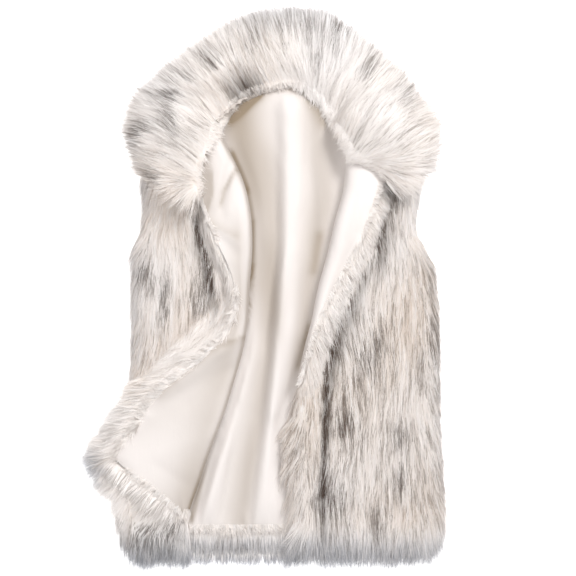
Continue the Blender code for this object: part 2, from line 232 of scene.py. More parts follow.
# Places where dark guard hairs crowd, or are few where the strength is below 0, millimetres; the row at (-28,
# 291) paints the shade of the collar's dip as dark hairs
DARK_PLACES = (
    ("x", "y", "across", "along", "strength"),
    (117, -207, 20, 29, 0.6),
    (192, -219, 13, 20, 0.4),
    (197, -291, 13, 20, 0.5),
    (92, -316, 20, 23, 0.5),
    (168, -349, 14, 20, 0.5),
    (188, 126, 9, 26, 0.7),
    (201, 25, 20, 38, 0.2),
    (212, 78, 20, 45, -0.40),
    (216, -30, 12, 40, -0.20),
    (150, -91, 29, 49, 0.35),
    (240, -91, 12, 58, 0.4),
    (-104, 103, 7, 30, 0.7),
    (-84, 22, 8, 29, 0.6),
    (-150, -22, 10, 29, 0.8),
    (-178, 16, 10, 17, 0.7),
    (-99, -23, 12, 23, 0.8),
    (-172, 60, 12, 13, 0.4),
    (-165, 156, 6, 14, 0.8),
    (-137, 238, 8, 24, 0.95),
    (-169, 233, 10, 8, 0.8),
    (-144, 90, 34, 40, -0.50),
    (-147, 278, 18, 9, 0.9),
    (-191, 221, 7, 20, 0.75),
    (-28, 291, 18, 12, 1.0),
    (-83, 335, 10, 8, 0.8),
    (-127, 308, 14, 9, 0.65),
    (-19, 369, 6, 23, 0.5),
    (23, 341, 6, 32, 0.55),
    (75, 338, 6, 23, 0.55),
    (57, 387, 23, 13, 0.35),
    (101, 373, 20, 12, 0.6),
    (153, 324, 17, 23, 0.45),
    (199, 283, 17, 16, 0.6),
    (157, 260, 13, 10, 0.4),
    (189, 216, 12, 13, 0.5),
    (215, 242, 10, 23, 0.45),
    (-178, -352, 13, 35, 0.6),
    (-143, -359, 14, 26, 0.8),
    (-202, -371, 10, 13, 0.7),
    (-244, -262, 12, 12, 0.4),
    (-40, -384, 30, 8, 0.45),
)

# Lines along which the pile lies in its own shade, millimetres, with the reach to their left and right
DARK_LINES = (
    TONES,
    (172, 104, 164, 58, 0.80, 5, 10),
    (164, 58, 141, 20, 0.50, 4, 7),
    (141, 20, 124, -22, 0.65, 4, 7),
    (124, -22, 104, -62, 0.80, 5, 9),
    (104, -62, 88, -128, 0.95, 5, 9),
    (88, -128, 85, -208, 0.90, 5, 6),
    (85, -208, 82, -320, 0.80, 5, 6),
    (46, -170, 50, -300, 0.12, 10, 8),
    (-106, 118, -97, 70, 0.80, 6, 4),
    (-97, 70, -82, 30, 0.95, 8, 3),
    (-82, 30, -74, -10, 0.85, 10, 3),
)

# Places where shade is painted into the pile down to its roots, in the collar's dip and under the collar's
# ends, millimetres
SHADED_PLACES = (
    ("x", "y", "across", "along", "strength"),
    (-23, 282, 14, 9, 1.0),
    (-40, 271, 10, 8, 0.8),
    (-8, 287, 9, 6, 0.8),
    (180, 142, 20, 9, 0.9),
    (-98, 116, 7, 12, 0.6),
)

# Creases of the linings, millimetres: ends, height, width
BACK_CREASES = (
    CREASES,
    (52, 270, 49, 120, 1.6, 7),
    (16, 240, 14, 90, -1.4, 8),
    (14, 60, -4, -80, -1.6, 7),
    (46, 20, 34, -130, 1.4, 8),
    (-40, -180, -62, -330, -1.5, 7),
    (-20, -200, -30, -340, 1.2, 6),
    (-70, -250, -92, -345, 1.3, 7),
    (24, -230, 20, -345, -1.2, 6),
    (-10, -260, -16, -345, 1.0, 5),
    (70, 200, 82, 80, 1.2, 7),
)
FLAP_CREASES = (
    CREASES,
    (-52, 176, -66, 118, -2.4, 4),
    (-62, 180, -76, 120, 2.0, 6),
    (-44, 168, -54, 112, 1.8, 6),
    (-84, 96, -48, 72, 1.6, 7),
    (-80, 80, -44, 50, -1.4, 7),
    (-70, -62, -44, -40, 1.6, 6),
    (-60, -92, -120, -112, 1.4, 7),
    (-40, -110, -110, -170, -1.4, 9),
    (-48, -80, -140, -150, 2.4, 8),
    (-60, -120, -160, -178, -1.6, 10),
    (-62, -170, -90, -270, 1.6, 12),
    (-150, -172, -205, -225, 1.2, 8),
    (-98, -292, -150, -262, -1.2, 9),
    (-72, -212, -150, -240, 0.9, 10),
)
LAPEL_CREASES = (
    CREASES,
    (158, 150, 136, 92, 1.6, 6),
    (128, 130, 112, 70, -1.2, 6),
    (132, 62, 110, 16, 1.4, 5),
    (98, 6, 84, -44, -1.0, 5),
)

# Uneven puckers where the linings are sewn to the fur, millimetres: place, way in, length, height
PUCKERS = (
    ("x", "y", "way_x", "way_y", "length", "height"),
    (-58, 40, 0.9, -0.3, 22, 1.3),
    (-47, 8, 1.0, -0.1, 16, -1.0),
    (-45, -24, 1.0, 0.2, 20, 1.4),
    (-52, -54, 0.8, 0.6, 18, -1.1),
    (-75, -84, 0.6, -0.8, 24, 1.5),
    (-100, -106, 0.5, -0.8, 18, -1.0),
    (-130, -129, 0.5, -0.9, 26, 1.6),
    (-158, -150, 0.6, -0.8, 18, 1.1),
    (-178, -182, 0.9, -0.4, 26, 1.6),
    (-200, -214, 0.9, -0.4, 18, -1.1),
    (-216, -248, 1.0, 0.1, 24, 1.4),
    (-196, -266, 0.4, 0.9, 18, 1.0),
    (-165, -290, 0.4, 0.9, 20, -1.0),
    (-138, -310, 0.4, 0.9, 16, 1.1),
    (166, 146, -0.9, 0.2, 20, 1.3),
    (154, 108, -0.9, 0.3, 18, -1.1),
    (138, 66, -0.9, 0.4, 20, 1.3),
    (120, 30, -0.9, 0.4, 16, -1.0),
    (104, 4, -0.9, 0.4, 16, 1.2),
    (86, -32, -0.9, 0.4, 12, 1.0),
    (-106, -346, 0.0, 1.0, 20, 1.2),
    (-84, -346, 0.1, 1.0, 26, -1.2),
    (-58, -346, 0.0, 1.0, 22, 1.4),
    (-30, -346, -0.1, 1.0, 30, 1.8),
    (-24, -346, 0.1, 1.0, 26, -1.6),
    (2, -346, 0.0, 1.0, 20, 1.2),
    (24, -346, 0.1, 1.0, 24, -1.0),
)

# Shade in the hollows of the linings, millimetres: line, strength, reach to its left and to its right
BACK_TONES = (
    TONES,
    (-42, 262, -27, 126, 0.80, 26, 34),
    (-56, 252, -14, 282, 1.00, 14, 7),
    (-27, 126, -6, -4, 0.50, 30, 28),
    (0, 190, 9, 70, 0.52, 30, 16),
    (9, 70, 16, -48, 0.60, 30, 8),
    (16, -48, -12, -222, 0.46, 24, 5),
    (-12, -222, -30, -345, 0.52, 27, 5),
    (68, 272, 84, 126, 0.48, 18, 26),
    (84, 126, 64, -10, 0.52, 24, 22),
    (64, -10, 44, -124, 0.55, 11, 16),
)
# Thin shade on the back's lining, under the folds of both fronts and under the collar
FOLD_TONES = (
    TONES,
    (-50, 192, -30, 141, 0.62, 4, 5),
    (-30, 141, -20, 94, 0.40, 4, 4),
    (-20, 94, -20, 32, 0.50, 4, 4),
    (-20, 32, -30, -50, 0.62, 4, 4),
    (-30, -50, -52, -136, 0.62, 4, 4),
    (-52, -136, -88, -250, 0.70, 4, 4),
    (-88, -250, -109, -338, 0.70, 4, 4),
    (-56, 248, -14, 280, 0.85, 5, 9),
    (24, 291, 62, 284, 0.45, 6, 8),
    (62, 284, 86, 240, 0.35, 12, 9),
    (78, 75, 70, 24, 0.24, 9, 6),
    (62, -58, 47, -114, 0.42, 5, 5),
)
# Thin shade in the sharpest creases of the turned right front
FLAP_FOLD_TONES = (
    TONES,
    (-45, 168, -60, 141, 0.42, 3, 4),
    (-60, 141, -65, 124, 0.34, 2, 4),
    (-78, 162, -78, 135, 0.30, 9, 2),
    (-78, 135, -87, 102, 0.26, 8, 2),
    (-80, 92, -45, 74, 0.20, 4, 9),
    (-33, -71, -73, -85, 0.24, 2, 7),
    (-73, -85, -114, -117, 0.30, 2, 9),
    (-114, -117, -154, -152, 0.26, 2, 9),
)
# Painted shade on the turned right front's lining, along its fold and in its broad creases
FLAP_TONES = (
    TONES,
    (-89, 205, -88, 112, 0.50, 16, 11),
    (-36, 80, -34, -19, 0.40, 18, 5),
    (-34, -19, -56, -136, 0.46, 34, 5),
    (-56, -136, -92, -250, 0.46, 36, 5),
    (-92, -250, -114, -338, 0.56, 36, 5),
    (-53, 172, -65, 120, 0.45, 5, 5),
    (-42, -94, -150, -146, 0.34, 7, 12),
    (-58, -138, -165, -192, 0.20, 12, 14),
)
# Painted shade on the turned left front's lining, in its creases and at the tip of the lapel
LAPEL_TONES = (
    TONES,
    (132, 96, 104, 20, 0.16, 8, 9),
    (104, 20, 78, -60, 0.20, 6, 9),
    (62, -90, 50, -145, 0.50, 10, 10),
)


def column(table, name):
    """One named column of a table, as an array."""
    place = table[0].index(name)
    return np.array([row[place] for row in table[1:]], float)


def ease(value):
    """0 below 0, 1 above 1, and an even slope between them."""
    value = np.clip(value, 0.0, 1.0)
    return value * value * (3 - 2 * value)


def beside_line(points, x0, y0, x1, y1):
    """Where points lie by a line, in millimetres: along it, to its right, and past its ends."""
    x, y = points[:, 0] / MM, points[:, 1] / MM
    run_x, run_y = x1 - x0, y1 - y0
    length = math.hypot(run_x, run_y)
    along = ((x - x0) * run_x + (y - y0) * run_y) / length
    aside = ((x - x0) * run_y - (y - y0) * run_x) / length
    return along, aside, np.maximum(np.maximum(-along, along - length), 0.0)


def crease_heights(points, table):
    """Height that the creases of a table add at each point, in metres."""
    total = np.zeros(len(points))
    for x0, y0, x1, y1, height, width in table[1:]:
        _, aside, past = beside_line(points, x0, y0, x1, y1)
        total += height * MM * np.exp(-(aside**2) / width**2 - (past / (CREASE_END * width)) ** 2)
    return total


def tone_at(points, table, fade=TONE_FADE):
    """Shade that the lines of a tone table give each point, softer past a line's ends and beside it."""
    total = np.zeros(len(points))
    for x0, y0, x1, y1, strength, left, right in table[1:]:
        _, aside, past = beside_line(points, x0, y0, x1, y1)
        reach = np.where(aside > 0, right, left) if y1 > y0 else np.where(aside > 0, left, right)
        total = np.maximum(total, strength * np.exp(-((aside / reach) ** 2) - (past / fade) ** 2))
    return total


def pucker_heights(points):
    """Height that the puckers along the sewn edges add at each point, in metres."""
    total = np.zeros(len(points))
    for x, y, way_x, way_y, length, height in PUCKERS[1:]:
        along, aside, _ = beside_line(points, x, y, x + way_x, y + way_y)
        width = PUCKER_WIDTH + PUCKER_SPREAD * np.maximum(along, 0)
        fade = ease(1 - along / length) * (along > -PUCKER_START)
        total += height * MM * np.exp(-((aside / width) ** 2)) * fade
    return total


def spot(points, x, y, across, along):
    """1 at a place in millimetres, fading to 0 across and along the vest."""
    return np.exp(-(((points[:, 0] / MM - x) / across) ** 2) - ((points[:, 1] / MM - y) / along) ** 2)


def unit(ways):
    """Ways made one long."""
    return ways / np.maximum(np.linalg.norm(ways, axis=1), 1e-6)[:, None]


def collar_ends(name):
    """The ends of the collar's lines at its seam or at its edge, in metres."""
    return np.column_stack([column(COLLAR_LINES, name + "_x"), column(COLLAR_LINES, name + "_y")]) * MM


def linear(hex_colour):
    """A shader's colour from an sRGB hex value."""
    channels = [int(hex_colour[k : k + 2], 16) / 255 for k in (0, 2, 4)]
    return (*[c / 12.92 if c <= 0.04045 else ((c + 0.055) / 1.055) ** 2.4 for c in channels], 1.0)


def add(tree, kind, settings=None, *first, **others):
    """Adds a node with its settings, and fills its first inputs in order, others as in_6 or by name."""
    made = tree.nodes.new(kind)
    for name, value in (settings or {}).items():
        setattr(made, name, value)
    for place, value in [*enumerate(first), *others.items()]:
        if isinstance(place, str):
            place = int(place[3:]) if place.startswith("in_") else place.replace("_", " ")
        if isinstance(value, bpy.types.Node):
            value = value.outputs[0]
        if isinstance(value, bpy.types.NodeSocket):
            tree.links.new(value, made.inputs[place])
        else:
            made.inputs[place].default_value = value
    return made


def new_material(name):
    """An empty material with a principled shader, its tree and the shader."""
    made = bpy.data.materials.new(name)
    made.use_nodes = True
    return made, made.node_tree, made.node_tree.nodes["Principled BSDF"]


def long_pile():
    """Modacrylic long pile: ivory, guard hairs tipped dark brown or cool grey, soft light shines through."""
    made, tree, shader = new_material("modacrylic_long_pile")
    read = {}
    for name in ("along", "tone", "tuft", "dark", "cool", "warm", "shade"):
        read[name] = add(tree, "ShaderNodeAttribute", {"attribute_name": name}).outputs["Fac"]
    mixed = add(tree, MATH, TIMES_PLUS, read["tone"], -0.14, read["tuft"])
    crowd = add(tree, MATH, TIMES_PLUS, read["dark"], 0.60, -0.80)
    over = add(tree, MATH, PLUS, mixed, crowd)
    most = add(tree, MAP_RANGE, Value=read["dark"], To_Min=0.30, To_Max=0.95)
    ink = add(tree, MAP_RANGE, SMOOTH_STEP, Value=over, From_Min=-0.05, From_Max=0.09, To_Max=most)
    tip = add(tree, MAP_RANGE, SMOOTH_STEP, Value=read["along"], From_Min=0.10, From_Max=0.45)
    late = add(tree, MAP_RANGE, SMOOTH_STEP, Value=read["along"], From_Min=0.35, From_Max=0.95)
    deep = add(tree, MATH, TIMES_PLUS, read["along"], -0.5, 1.0)
    ink_cool = add(tree, MATH, TIMES, read["cool"], read["cool"])
    ink_colour = add(tree, MIX, COLOURS, ink_cool, in_6=linear("4E3524"), in_7=linear("47484D"))
    # Beige, grey tips, dark tips and shade lie over the ivory in this order
    colour = linear("FFFDFC")
    for share, part, dye in (
        (read["warm"], read["tuft"], linear("E2D1BF")),
        (read["cool"], late, linear("B6B9C0")),
        (ink, tip, ink_colour.outputs[2]),
        (deep, read["shade"], linear("5E5046")),
    ):
        amount = add(tree, MATH, TIMES, share, part)
        colour = add(tree, MIX, COLOURS, amount, in_6=colour, in_7=dye).outputs[2]
    tree.links.new(colour, shader.inputs["Base Color"])
    shader.inputs["Roughness"].default_value = 0.60
    shader.inputs["Specular IOR Level"].default_value = 0.20
    through = add(tree, "ShaderNodeBsdfTranslucent", Color=colour)
    both = add(tree, "ShaderNodeMixShader", None, THROUGH_FIBRE, shader, through)
    tree.links.new(both.outputs[0], tree.nodes["Material Output"].inputs["Surface"])
    return made


def knitted_backing():
    """Knitted polyester backing under dense undercoat: matt, ivory, mottled by the hair roots, darkened by
    painted shade.
    """
    made, tree, shader = new_material("knitted_backing_with_undercoat")
    place = add(tree, "ShaderNodeTexCoord").outputs["Object"]
    roots = add(tree, NOISE, Vector=place, Scale=700.0, Detail=2.0)
    patches = add(tree, NOISE, Vector=place, Scale=28.0, Detail=3.0)
    fine = add(tree, MIX, COLOURS, roots.outputs["Fac"], in_6=linear("FBF7F4"), in_7=linear("EFE7E1"))
    all_over = add(tree, MIX, COLOURS, patches.outputs["Fac"], in_6=fine.outputs[2], in_7=linear("F3ECE6"))
    bump = add(tree, BUMP, Height=roots.outputs["Fac"], Strength=0.6, Distance=0.001)
    # Painted shade: the shade attribute darkens the backing towards 5E5046, as it darkens the pile's roots
    shade = add(tree, "ShaderNodeAttribute", {"attribute_name": "shade"})
    shaded = add(tree, MIX, COLOURS, shade.outputs["Fac"], in_6=all_over.outputs[2], in_7=linear("5E5046"))
    tree.links.new(shaded.outputs[2], shader.inputs["Base Color"])
    tree.links.new(bump.outputs[0], shader.inputs["Normal"])
    shader.inputs["Roughness"].default_value = 0.95
    return made


def lining_satin():
    """Polyester satin: floats give a soft broad shine, the weave a fine grain, handling a few crinkles."""
    made, tree, shader = new_material("polyester_lining_satin")
    place = add(tree, "ShaderNodeTexCoord").outputs["Object"]
    stretch = add(tree, "ShaderNodeMapping", Vector=place, Scale=(1.0, 0.45, 1.0))
    # The threads are 0.15 mm apart, too fine to show, so they are drawn 1.2 mm apart and faint
    threads = add(tree, "ShaderNodeTexWave", Vector=place, Scale=420.0, Distortion=1.5, Detail=1.0)
    threads.bands_direction = "DIAGONAL"
    crinkle = add(tree, NOISE, Vector=stretch, Scale=55.0, Detail=3.0, Distortion=0.6)
    broad = add(tree, NOISE, Vector=stretch, Scale=9.0, Detail=2.0)
    weave_bump = add(tree, BUMP, Height=threads.outputs["Fac"], Strength=0.05, Distance=0.0003)
    crinkle_bump = add(tree, BUMP, Height=crinkle, Normal=weave_bump, Strength=0.35, Distance=0.0015)
    # Painted shade: the attribute read here darkens the satin towards 8A7B68 in its hollows, creases and
    # under folds
    hollow = add(tree, "ShaderNodeAttribute", {"attribute_name": "hollow"})
    ivory = add(tree, MIX, COLOURS, broad.outputs["Fac"], in_6=linear("E2DDDB"), in_7=linear("DCD6D3"))
    colour = add(tree, MIX, COLOURS, hollow.outputs["Fac"], in_6=ivory.outputs[2], in_7=linear("8A7B68"))
    gloss = add(tree, MAP_RANGE, Value=crinkle.outputs["Fac"], To_Min=0.62, To_Max=0.72)
    tree.links.new(colour.outputs[2], shader.inputs["Base Color"])
    tree.links.new(gloss.outputs[0], shader.inputs["Roughness"])
    tree.links.new(crinkle_bump.outputs[0], shader.inputs["Normal"])
    shader.inputs["Sheen Weight"].default_value = 0.2
    shader.inputs["Specular IOR Level"].default_value = 0.25
    return made


def pale_floor():
    """Opal acrylic over a light box: matt white and lit from below, so that shadows on it stay faint."""
    made, tree, shader = new_material("opal_acrylic_light_box")
    place = add(tree, "ShaderNodeTexCoord").outputs["Object"]
    grain = add(tree, NOISE, Vector=place, Scale=900.0, Detail=2.0)
    colour = add(tree, MIX, COLOURS, grain.outputs["Fac"], in_6=linear("FAFAFA"), in_7=linear("F6F6F6"))
    tree.links.new(colour.outputs[2], shader.inputs["Base Color"])
    shader.inputs["Roughness"].default_value = 0.9
    shader.inputs["Emission Color"].default_value = linear("FFFFFF")
    shader.inputs["Emission Strength"].default_value = FLOOR_GLOW
    return made


def points_of(mesh):
    """The mesh's points as an array."""
    found = np.empty(len(mesh.vertices) * 3)
    mesh.vertices.foreach_get("co", found)
    return found.reshape(-1, 3)


def normals_of(mesh):
    """The mesh's point normals as an array."""
    found = np.empty(len(mesh.vertices) * 3)
    mesh.vertex_normals.foreach_get("vector", found)
    return found.reshape(-1, 3)


def set_points(mesh, points):
    """Moves a mesh's points."""
    mesh.vertices.foreach_set("co", np.asarray(points, float).ravel())
    mesh.update()


def set_field(mesh, name, numbers):
    """Writes one number for each point of a mesh, as an attribute."""
    field = mesh.attributes.get(name) or mesh.attributes.new(name, "FLOAT", "POINT")
    field.data.foreach_set("value", numbers)


def link(obj):
    """Puts an object into the scene."""
    bpy.context.scene.collection.objects.link(obj)
    return obj


def with_plain_mesh(obj):
    """The object with what its modifiers make of it as a plain mesh."""
    graph = bpy.context.evaluated_depsgraph_get()
    finished = bpy.data.meshes.new_from_object(obj.evaluated_get(graph))
    obj.modifiers.clear()
    obj.data = finished
    finished.name = obj.name
    return obj


def finer_copy(node_name, piece_name, levels):
    """A smooth, finer copy of a CAD node's mesh, as a new object."""
    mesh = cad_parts[node_name].data.copy()
    mesh.name = piece_name
    mesh.materials.clear()
    work = bmesh.new()
    work.from_mesh(mesh)
    bmesh.ops.remove_doubles(work, verts=work.verts, dist=SAME_PLACE)
    bmesh.ops.join_triangles(
        work,
        faces=work.faces,
        angle_face_threshold=math.radians(50),
        angle_shape_threshold=math.radians(80),
    )
    work.to_mesh(mesh)
    work.free()
    obj = link(bpy.data.objects.new(piece_name, mesh))
    smooth = obj.modifiers.new("finer", "SUBSURF")
    smooth.levels = smooth.render_levels = levels
    with_plain_mesh(obj).data.shade_smooth()
    return obj


def search_tree(points):
    """A tree that finds the nearest of some points."""
    tree = KDTree(len(points))
    for k, place in enumerate(points):
        tree.insert(place, k)
    tree.balance()
    return tree


def tree_of(names):
    """One search tree over the surfaces of some CAD nodes."""
    points, faces = [], []
    for name in names:
        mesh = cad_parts[name].data
        start = len(points)
        points += [v.co.copy() for v in mesh.vertices]
        faces += [[start + k for k in p.vertices] for p in mesh.polygons]
    return BVHTree.FromPolygons(points, faces)


def top_at(solids, x, y):
    """The highest place of some solids straight over a point of the floor, or None."""
    return solids.ray_cast((x, y, LOOK_DOWN), (0, 0, -1), 2 * LOOK_DOWN)[0]


def smoothed(mesh, numbers, rounds):
    """Numbers on a mesh's points, each averaged with its neighbours a number of times."""
    edges = np.empty(len(mesh.edges) * 2, int)
    mesh.edges.foreach_get("vertices", edges)
    first, second = edges.reshape(-1, 2).T
    size = len(numbers)
    count = np.bincount(edges, minlength=size)
    for _ in range(rounds):
        total = np.bincount(first, numbers[second], size) + np.bincount(second, numbers[first], size)
        numbers = 0.5 * numbers + 0.5 * total / np.maximum(count, 1)
    return numbers


def lining(node_name, creases, tones, thin_tones, fold_share):
    """A lining on its solid's form, with the main creases, the puckers of its sewn edge and shade painted
    into its hollows and creases.
    """
    obj = finer_copy(node_name, node_name + "_satin", 2)
    mesh = obj.data
    points = points_of(mesh)
    broad = smoothed(mesh, points[:, 2], FOLD_ROUNDS)
    rise = crease_heights(points, creases) + pucker_heights(points)
    rise += (fold_share - 1) * (points[:, 2] - broad)
    if node_name == "back_lining":
        rise *= shown_part(points)
    points[:, 2] += rise
    set_points(mesh, points)
    # Painted shade: the satin is darkened where it lies low against its broad form, along the tone lines, on
    # steep sides that face +x, and along the thin shade lines
    depth = smoothed(mesh, points[:, 2], CREASE_ROUNDS) - smoothed(mesh, points[:, 2], HOLLOW_ROUNDS)
    hollow = HOLLOW_SHADE * np.clip(0.5 - depth / HOLLOW_DEPTH, 0.0, 1.0)
    hollow += smoothed(mesh, tone_at(points, tones), TONE_ROUNDS)
    normals = normals_of(mesh)
    hollow += FAR_SIDE_SHADE * ease((0.80 - normals[:, 2]) / 0.5) * ease(2 * normals[:, 0])
    hollow += tone_at(points, thin_tones, THIN_TONE_FADE)
    set_field(mesh, "hollow", hollow)
    mesh.materials.append(SATIN)
    return obj


def shown_part(points):
    """1 where no front lies over the back's lining, 0 where one does."""
    covered = tree_of(("right_front_shell", "left_front_shell"))
    share = np.ones(len(points))
    for k, place in enumerate(points):
        found = covered.ray_cast(place - (0, 0, COVERED_GAP), (0, 0, 1), 0.1)
        if found[0] is not None:
            share[k] = max(0.0, 1 - found[3] / COVERED_GAP)
    return share


def distance_to(points, solids):
    """Each point's distance from some solids."""
    return np.array([solids.find_nearest(place)[3] for place in points])


def inside_outline(points):
    """True for each point that lies over the fur, as seen from straight above."""
    return np.array([top_at(ALL_SOLIDS, x, y) is not None for x, y in points[:, :2]])


def outer_rim(points, normals):
    """The points of a fur solid that lie on the vest's own outline, and the level way out there."""
    chosen = np.abs(normals[:, 2]) < 0.5
    out = unit(normals[:, :2])
    beyond = points[:, :2] + out * RIM_PROBE
    chosen[chosen] = ~inside_outline(beyond[chosen])
    return points[chosen, :2], out[chosen]


def near_rim(points, rim, out):
    """Each point's distance from the outline, and the level way out at the nearest part of it."""
    tree = search_tree(np.column_stack([rim, np.zeros(len(rim))]))
    far, way = np.zeros(len(points)), np.zeros((len(points), 2))
    for k, place in enumerate(points):
        found = tree.find_n((place[0], place[1], 0.0), 6)
        far[k] = found[0][2]
        way[k] = sum(out[f[1]] / (f[2] + 0.004) for f in found)
    return far, unit(way)


def thickness_at(solid, place, normal):
    """How thick a solid is, measured inwards from a point that may lie a little off its surface."""
    start = place - normal * WALL_START
    total = WALL_START
    for _ in range(3):
        hit = solid.ray_cast(start, -normal, 0.2)
        if hit[0] is None:
            return total
        total += hit[3]
        if total > THIN_WALL:
            return total
        start = np.array(hit[0]) - normal * OFF_SURFACE
        total += OFF_SURFACE
    return total


def shoulder_share(points):
    """How far the collar lies in over the lining, from 0 to 1: most along its seam at the left shoulder."""
    seam = collar_ends("seam")
    steps = np.linspace(0, len(seam) - 1, 200)
    line = np.column_stack([np.interp(steps, np.arange(len(seam)), seam[:, k]) for k in (0, 1)])
    near = np.linalg.norm(points[:, None, :2] - line[None], axis=2).min(axis=1)
    place = ease((points[:, 0] / MM - 30) / 45) * ease((points[:, 1] / MM - 150) / 60)
    return place * np.exp(-((near / SHOULDER_REACH) ** 2))


def backing(node_name, shrink, flow_of):
    """The fabric under the pile: the solid's form drawn in by the pile's depth, most where pile overhangs."""
    obj = finer_copy(node_name, node_name + "_backing", 2)
    solid = tree_of((node_name,))
    points, normals = points_of(obj.data), normals_of(obj.data)
    far, way = near_rim(points, *outer_rim(points, normals))
    seam = distance_to(points, LINING_EDGES)
    from_seam = ease(seam / SEAM_REACH)
    lined = np.array([LINING_EDGES.ray_cast(place, (0, 0, 1), 0.03)[0] is not None for place in points])
    from_seam[lined] = 1.0
    shrink = np.where(lined, UNDER_LINING, shrink)
    flow = flow_of(points, normals)
    over_edge = np.maximum((flow[:, :2] * way).sum(axis=1), 0.0)
    inset = (EDGE_INSET + PILE_INSET * over_edge) * np.exp(-far / RIM_REACH)
    room = np.array([thickness_at(solid, place, normal) for place, normal in zip(points, normals)])
    depth = np.minimum(shrink, 0.42 * room) * from_seam * (normals[:, 2] > -0.35)
    depth = smoothed(obj.data, depth, 10)
    moved = points - normals * depth[:, None]
    moved[:, :2] -= way * (inset * from_seam)[:, None]
    moved[:, 2] = np.maximum(moved[:, 2], 0.0)
    if node_name == "upper_collar":
        moved -= flow * (COLLAR_SPREAD * shoulder_share(points))[:, None]
    set_points(obj.data, moved)
    # The pile's painted shade, also on the backing
    set_field(obj.data, "shade", shade_share(moved))
    obj.data.materials.append(BACKING)
    return obj


def with_rim_way(points, flow, far, way):
    """Pile near the outline turns a little outwards, in uneven tufts."""
    turned = flow.copy()
    uneven = 1 + 0.9 * wave_field(points, 0.018, 4.0)
    turned[:, :2] += (RIM_TURN * uneven * np.exp(-far / RIM_REACH))[:, None] * way
    return turned


def length_share(points, flow, longest):
    """Pile is shorter where it would hang far outside the vest's outline."""
    level = unit(flow[:, :2])
    room = np.zeros(len(points))
    free = np.ones(len(points), bool)
    for step in np.arange(0.004, longest, 0.004):
        free[free] = inside_outline(points[free, :2] + level[free] * step)
        room[free] = step
    return np.clip((room + OVERHANG) / longest, SHORTEST_SHARE, 1.0)


def band_place(points, table):
    """Where points lie across a turned band: 0 at its fringe, 1 at its sewn edge."""
    y = points[:, 1] / MM
    order = np.argsort(column(table, "y"))
    seam = np.interp(y, column(table, "y")[order], column(table, "seam")[order])
    fringe = np.interp(y, column(table, "y")[order], column(table, "fringe")[order])
    return (points[:, 0] / MM - fringe) / (seam - fringe)


def band_share(points, table, steep):
    """1 on a turned fur band, 0 outside it; steep says how fast it rises from the fringe."""
    return ease(steep * band_place(points, table))


def on_white_band(points, node_name):
    """1 on the white part of a front's turned band, 0 elsewhere."""
    if node_name not in BANDS:
        return np.zeros(len(points))
    table, _, _, low, high = BANDS[node_name]
    y = points[:, 1] / MM
    return band_share(points, table, 3) * ease((y - low) / 40) * ease((high + 20 - y) / 40)


def band_room(points, flow, node_name):
    """How far pile may reach along its flow: a little past the border of its front's turned band."""
    inside = on_white_band(points, node_name) > 0.4
    room = np.zeros(len(points))
    free = np.ones(len(points), bool)
    for step in np.arange(0.003, 0.051, 0.003):
        there = on_white_band(points + flow * step, node_name) > 0.4
        free &= there == inside
        room[free] = step
    past = BANDS[node_name][1] * MM + 0.006 * wave_field(points, 0.014, 2.2)
    inner = ease((points[:, 1] / MM - BANDS[node_name][2]) / 20)
    return room + np.where(inside, past, 0.007) + 0.06 * (1 - inner)


def wave_field(points, size, turn):
    """A smooth uneven field from -1 to 1, its swells about size apart."""
    x, y = points[:, 0] / size, points[:, 1] / size
    first = np.sin(2.1 * x + 1.3 * np.sin(1.7 * y + turn) + turn)
    second = np.sin(1.9 * y + 1.1 * np.sin(2.3 * x - turn) + 2 * turn)
    third = np.sin(3.7 * x - 2.9 * y + 3 * turn)
    return (first + second + 0.6 * third) / 2.6


def swung(flow, lean):
    """A level flow turned by an angle at each point."""
    turned_x = flow[:, 0] * np.cos(lean) - flow[:, 1] * np.sin(lean)
    turned_y = flow[:, 0] * np.sin(lean) + flow[:, 1] * np.cos(lean)
    return np.column_stack([turned_x, turned_y, 0 * turned_x])


def body_flow(points, normals):
    """Pile of the back and the unturned fronts lies down towards the hem."""
    lean = 0.14 * wave_field(points, 0.11, 0.4) + 0.08 * wave_field(points, 0.045, 2.0)
    return np.column_stack([np.sin(lean), -np.cos(lean), 0 * lean])


def front_flow(points, normals, band, ways, steep, lowest):
    """Body pile of a front, whose turned band lies as a table says above a height."""
    y = points[:, 1] / MM
    on_band = (band_share(points, band, steep) * (y > lowest))[:, None]
    lie = [np.interp(y, column(ways, "y"), column(ways, name)) for name in ("way_x", "way_y")]
    turned = swung(np.column_stack(lie), 0.38 * wave_field(points, 0.015, 5.0))
    return body_flow(points, normals) * (1 - on_band) + turned * on_band


right_flow = partial(front_flow, band=RIGHT_BAND, ways=RIGHT_WAYS, steep=4, lowest=-345)
left_flow = partial(front_flow, band=LEFT_BAND, ways=LEFT_WAYS, steep=3, lowest=-1000)


def collar_flow(points, normals):
    """Pile of the collar lies outwards from the neck seam."""
    seam = collar_ends("seam")
    run = collar_ends("edge") - seam
    length = np.linalg.norm(run, axis=1)
    lines = run / length[:, None]
    from_seam = points[:, None, :2] - seam[None, :, :]
    along = np.clip((from_seam * lines[None]).sum(axis=2), 0, length[None, :])
    nearest = seam[None] + along[..., None] * lines[None]
    away = np.linalg.norm(points[:, None, :2] - nearest, axis=2)
    weight = 1 / (away + 0.004) ** 3
    flow = (weight[..., None] * lines[None]).sum(axis=1) / weight.sum(axis=1)[:, None]
    right_end = ease((168 - points[:, 1] / MM) / 50) * (points[:, 0] < 0)
    left_end = ease((192 - points[:, 1] / MM) / 46) * (points[:, 0] > 0)
    flow = flow * (1 - right_end - left_end)[:, None]
    flow += right_end[:, None] * RIGHT_END_WAY + left_end[:, None] * LEFT_END_WAY
    return swung(flow, 0.18 * wave_field(points, 0.06, 1.2) + 0.10 * wave_field(points, 0.03, 0.3))


